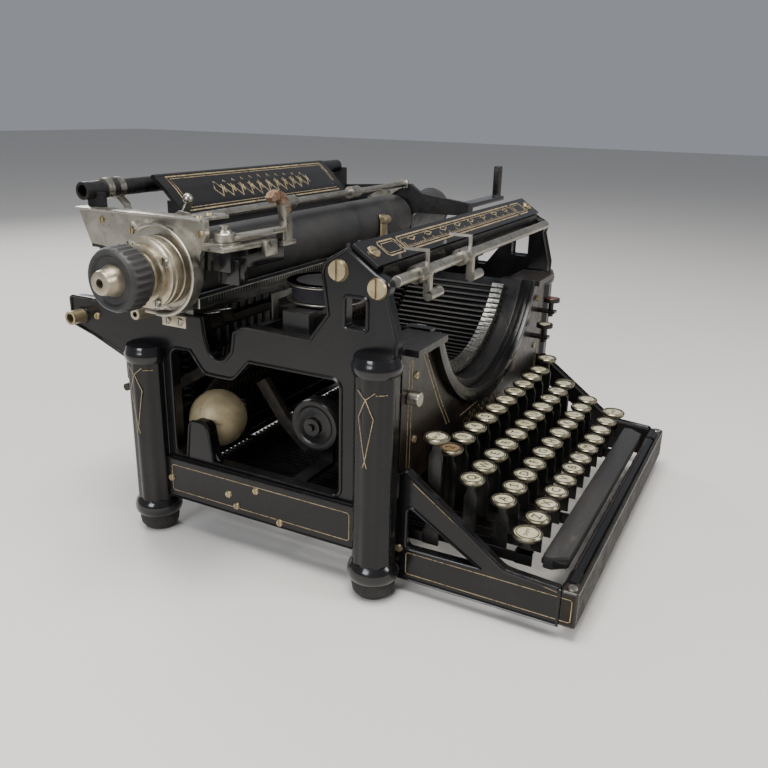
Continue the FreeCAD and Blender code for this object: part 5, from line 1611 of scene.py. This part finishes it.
slab(
    lug,
    [
        (0.0580, 0.0520), (0.0260, 0.0520), (0.0300, 0.0570), (0.0345, 0.0630), (0.0375, 0.0710),
        (0.0410, 0.0765), (0.0465, 0.0785), (0.0510, 0.0755), (0.0535, 0.0680),
    ],
    "x",
    -0.1385,
    -0.1345,
    ease=0.0009,
)
fitted(made(lug, "bell_guard_lug", gloss_japan), "machine_frame", "japan")

# ---------------------------------------------------------------- panel keys and spools
# Two round keys stand out of the panel's right edge, one topped with red celluloid. The
# spools are tin cups on the deck, with the inked ribbon wound inside them.

red_top = mottled(
    "red_celluloid", (0.16, 0.030, 0.022), (0.10, 0.022, 0.017), (0.05, 0.022, 0.018), wear=0.3,
    patch=160, rough=(0.2, 0.45), coat=0.5,
)
inked = mottled(
    "inked_ribbon", (0.012, 0.012, 0.016), (0.022, 0.021, 0.026), (0.045, 0.042, 0.04), wear=0.1,
    patch=220, grain=2500, rough=(0.8, 0.95), stretch=(1, 1, 6),
)
for node, body, slot, finish in (
    ("red_panel_key", "red_key", "red_key", red_top),
    ("nickel_panel_key", "nickel_key", "nickel", ivory),
):
    eased(node, body, slot, dark_steel, None, 0.0003)
    low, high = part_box(node)
    top = Vector(((low.x + high.x) / 2, low.y + (high.x - low.x) / 2, high.z))
    radius = (high.x - low.x) / 2
    ring = key_ring(top + Vector((0, 0, 0.0002)), radius)
    fitted(made(ring, body + "_ring", ring_nickel), body, "nickel")
    card = key_card(top + Vector((0, 0, 0.0004)), radius)
    fitted(made(card, body + "_top", finish), body, slot)
for node, body in (("left_ribbon_spool", "left_spool"), ("right_ribbon_spool", "right_spool")):
    low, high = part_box(node)
    centre = ((low.x + high.x) / 2, (low.y + high.y) / 2, 0)
    radius = (high.x - low.x) / 2
    eased(node, body, "black_steel", enamel, dark_steel, 0.0003)
    rolled = bmesh.new()
    profile = [(low.z + 0.0016, 0), (low.z + 0.0016, radius - 0.0030)]
    profile += [(high.z - 0.0016, radius - 0.0030), (high.z - 0.0016, 0)]
    turned(rolled, profile, centre, "z", steps=48)
    fitted(made(rolled, body + "_ribbon", inked), body, "ribbon")
    flange = bmesh.new()
    for z in (low.z, high.z - 0.0014):
        inner, outer = radius - 0.0060, radius - 0.0002
        rim_profile = [(0, inner), (0, outer), (0.0007, radius), (0.0014, outer)]
        rim_profile += [(0.0014, inner), (0, inner)]
        turned(flange, [(z + a, r) for a, r in rim_profile], centre, "z", steps=48)
    fitted(made(flange, body + "_flange", nickel), body, "nickel")

# ---------------------------------------------------------------- rear tube
# A brass tube through the back of the frame carries the paper roll's bearing.

eased("rear_tube", "machine_frame", "brass", old_brass, None, 0.0003)
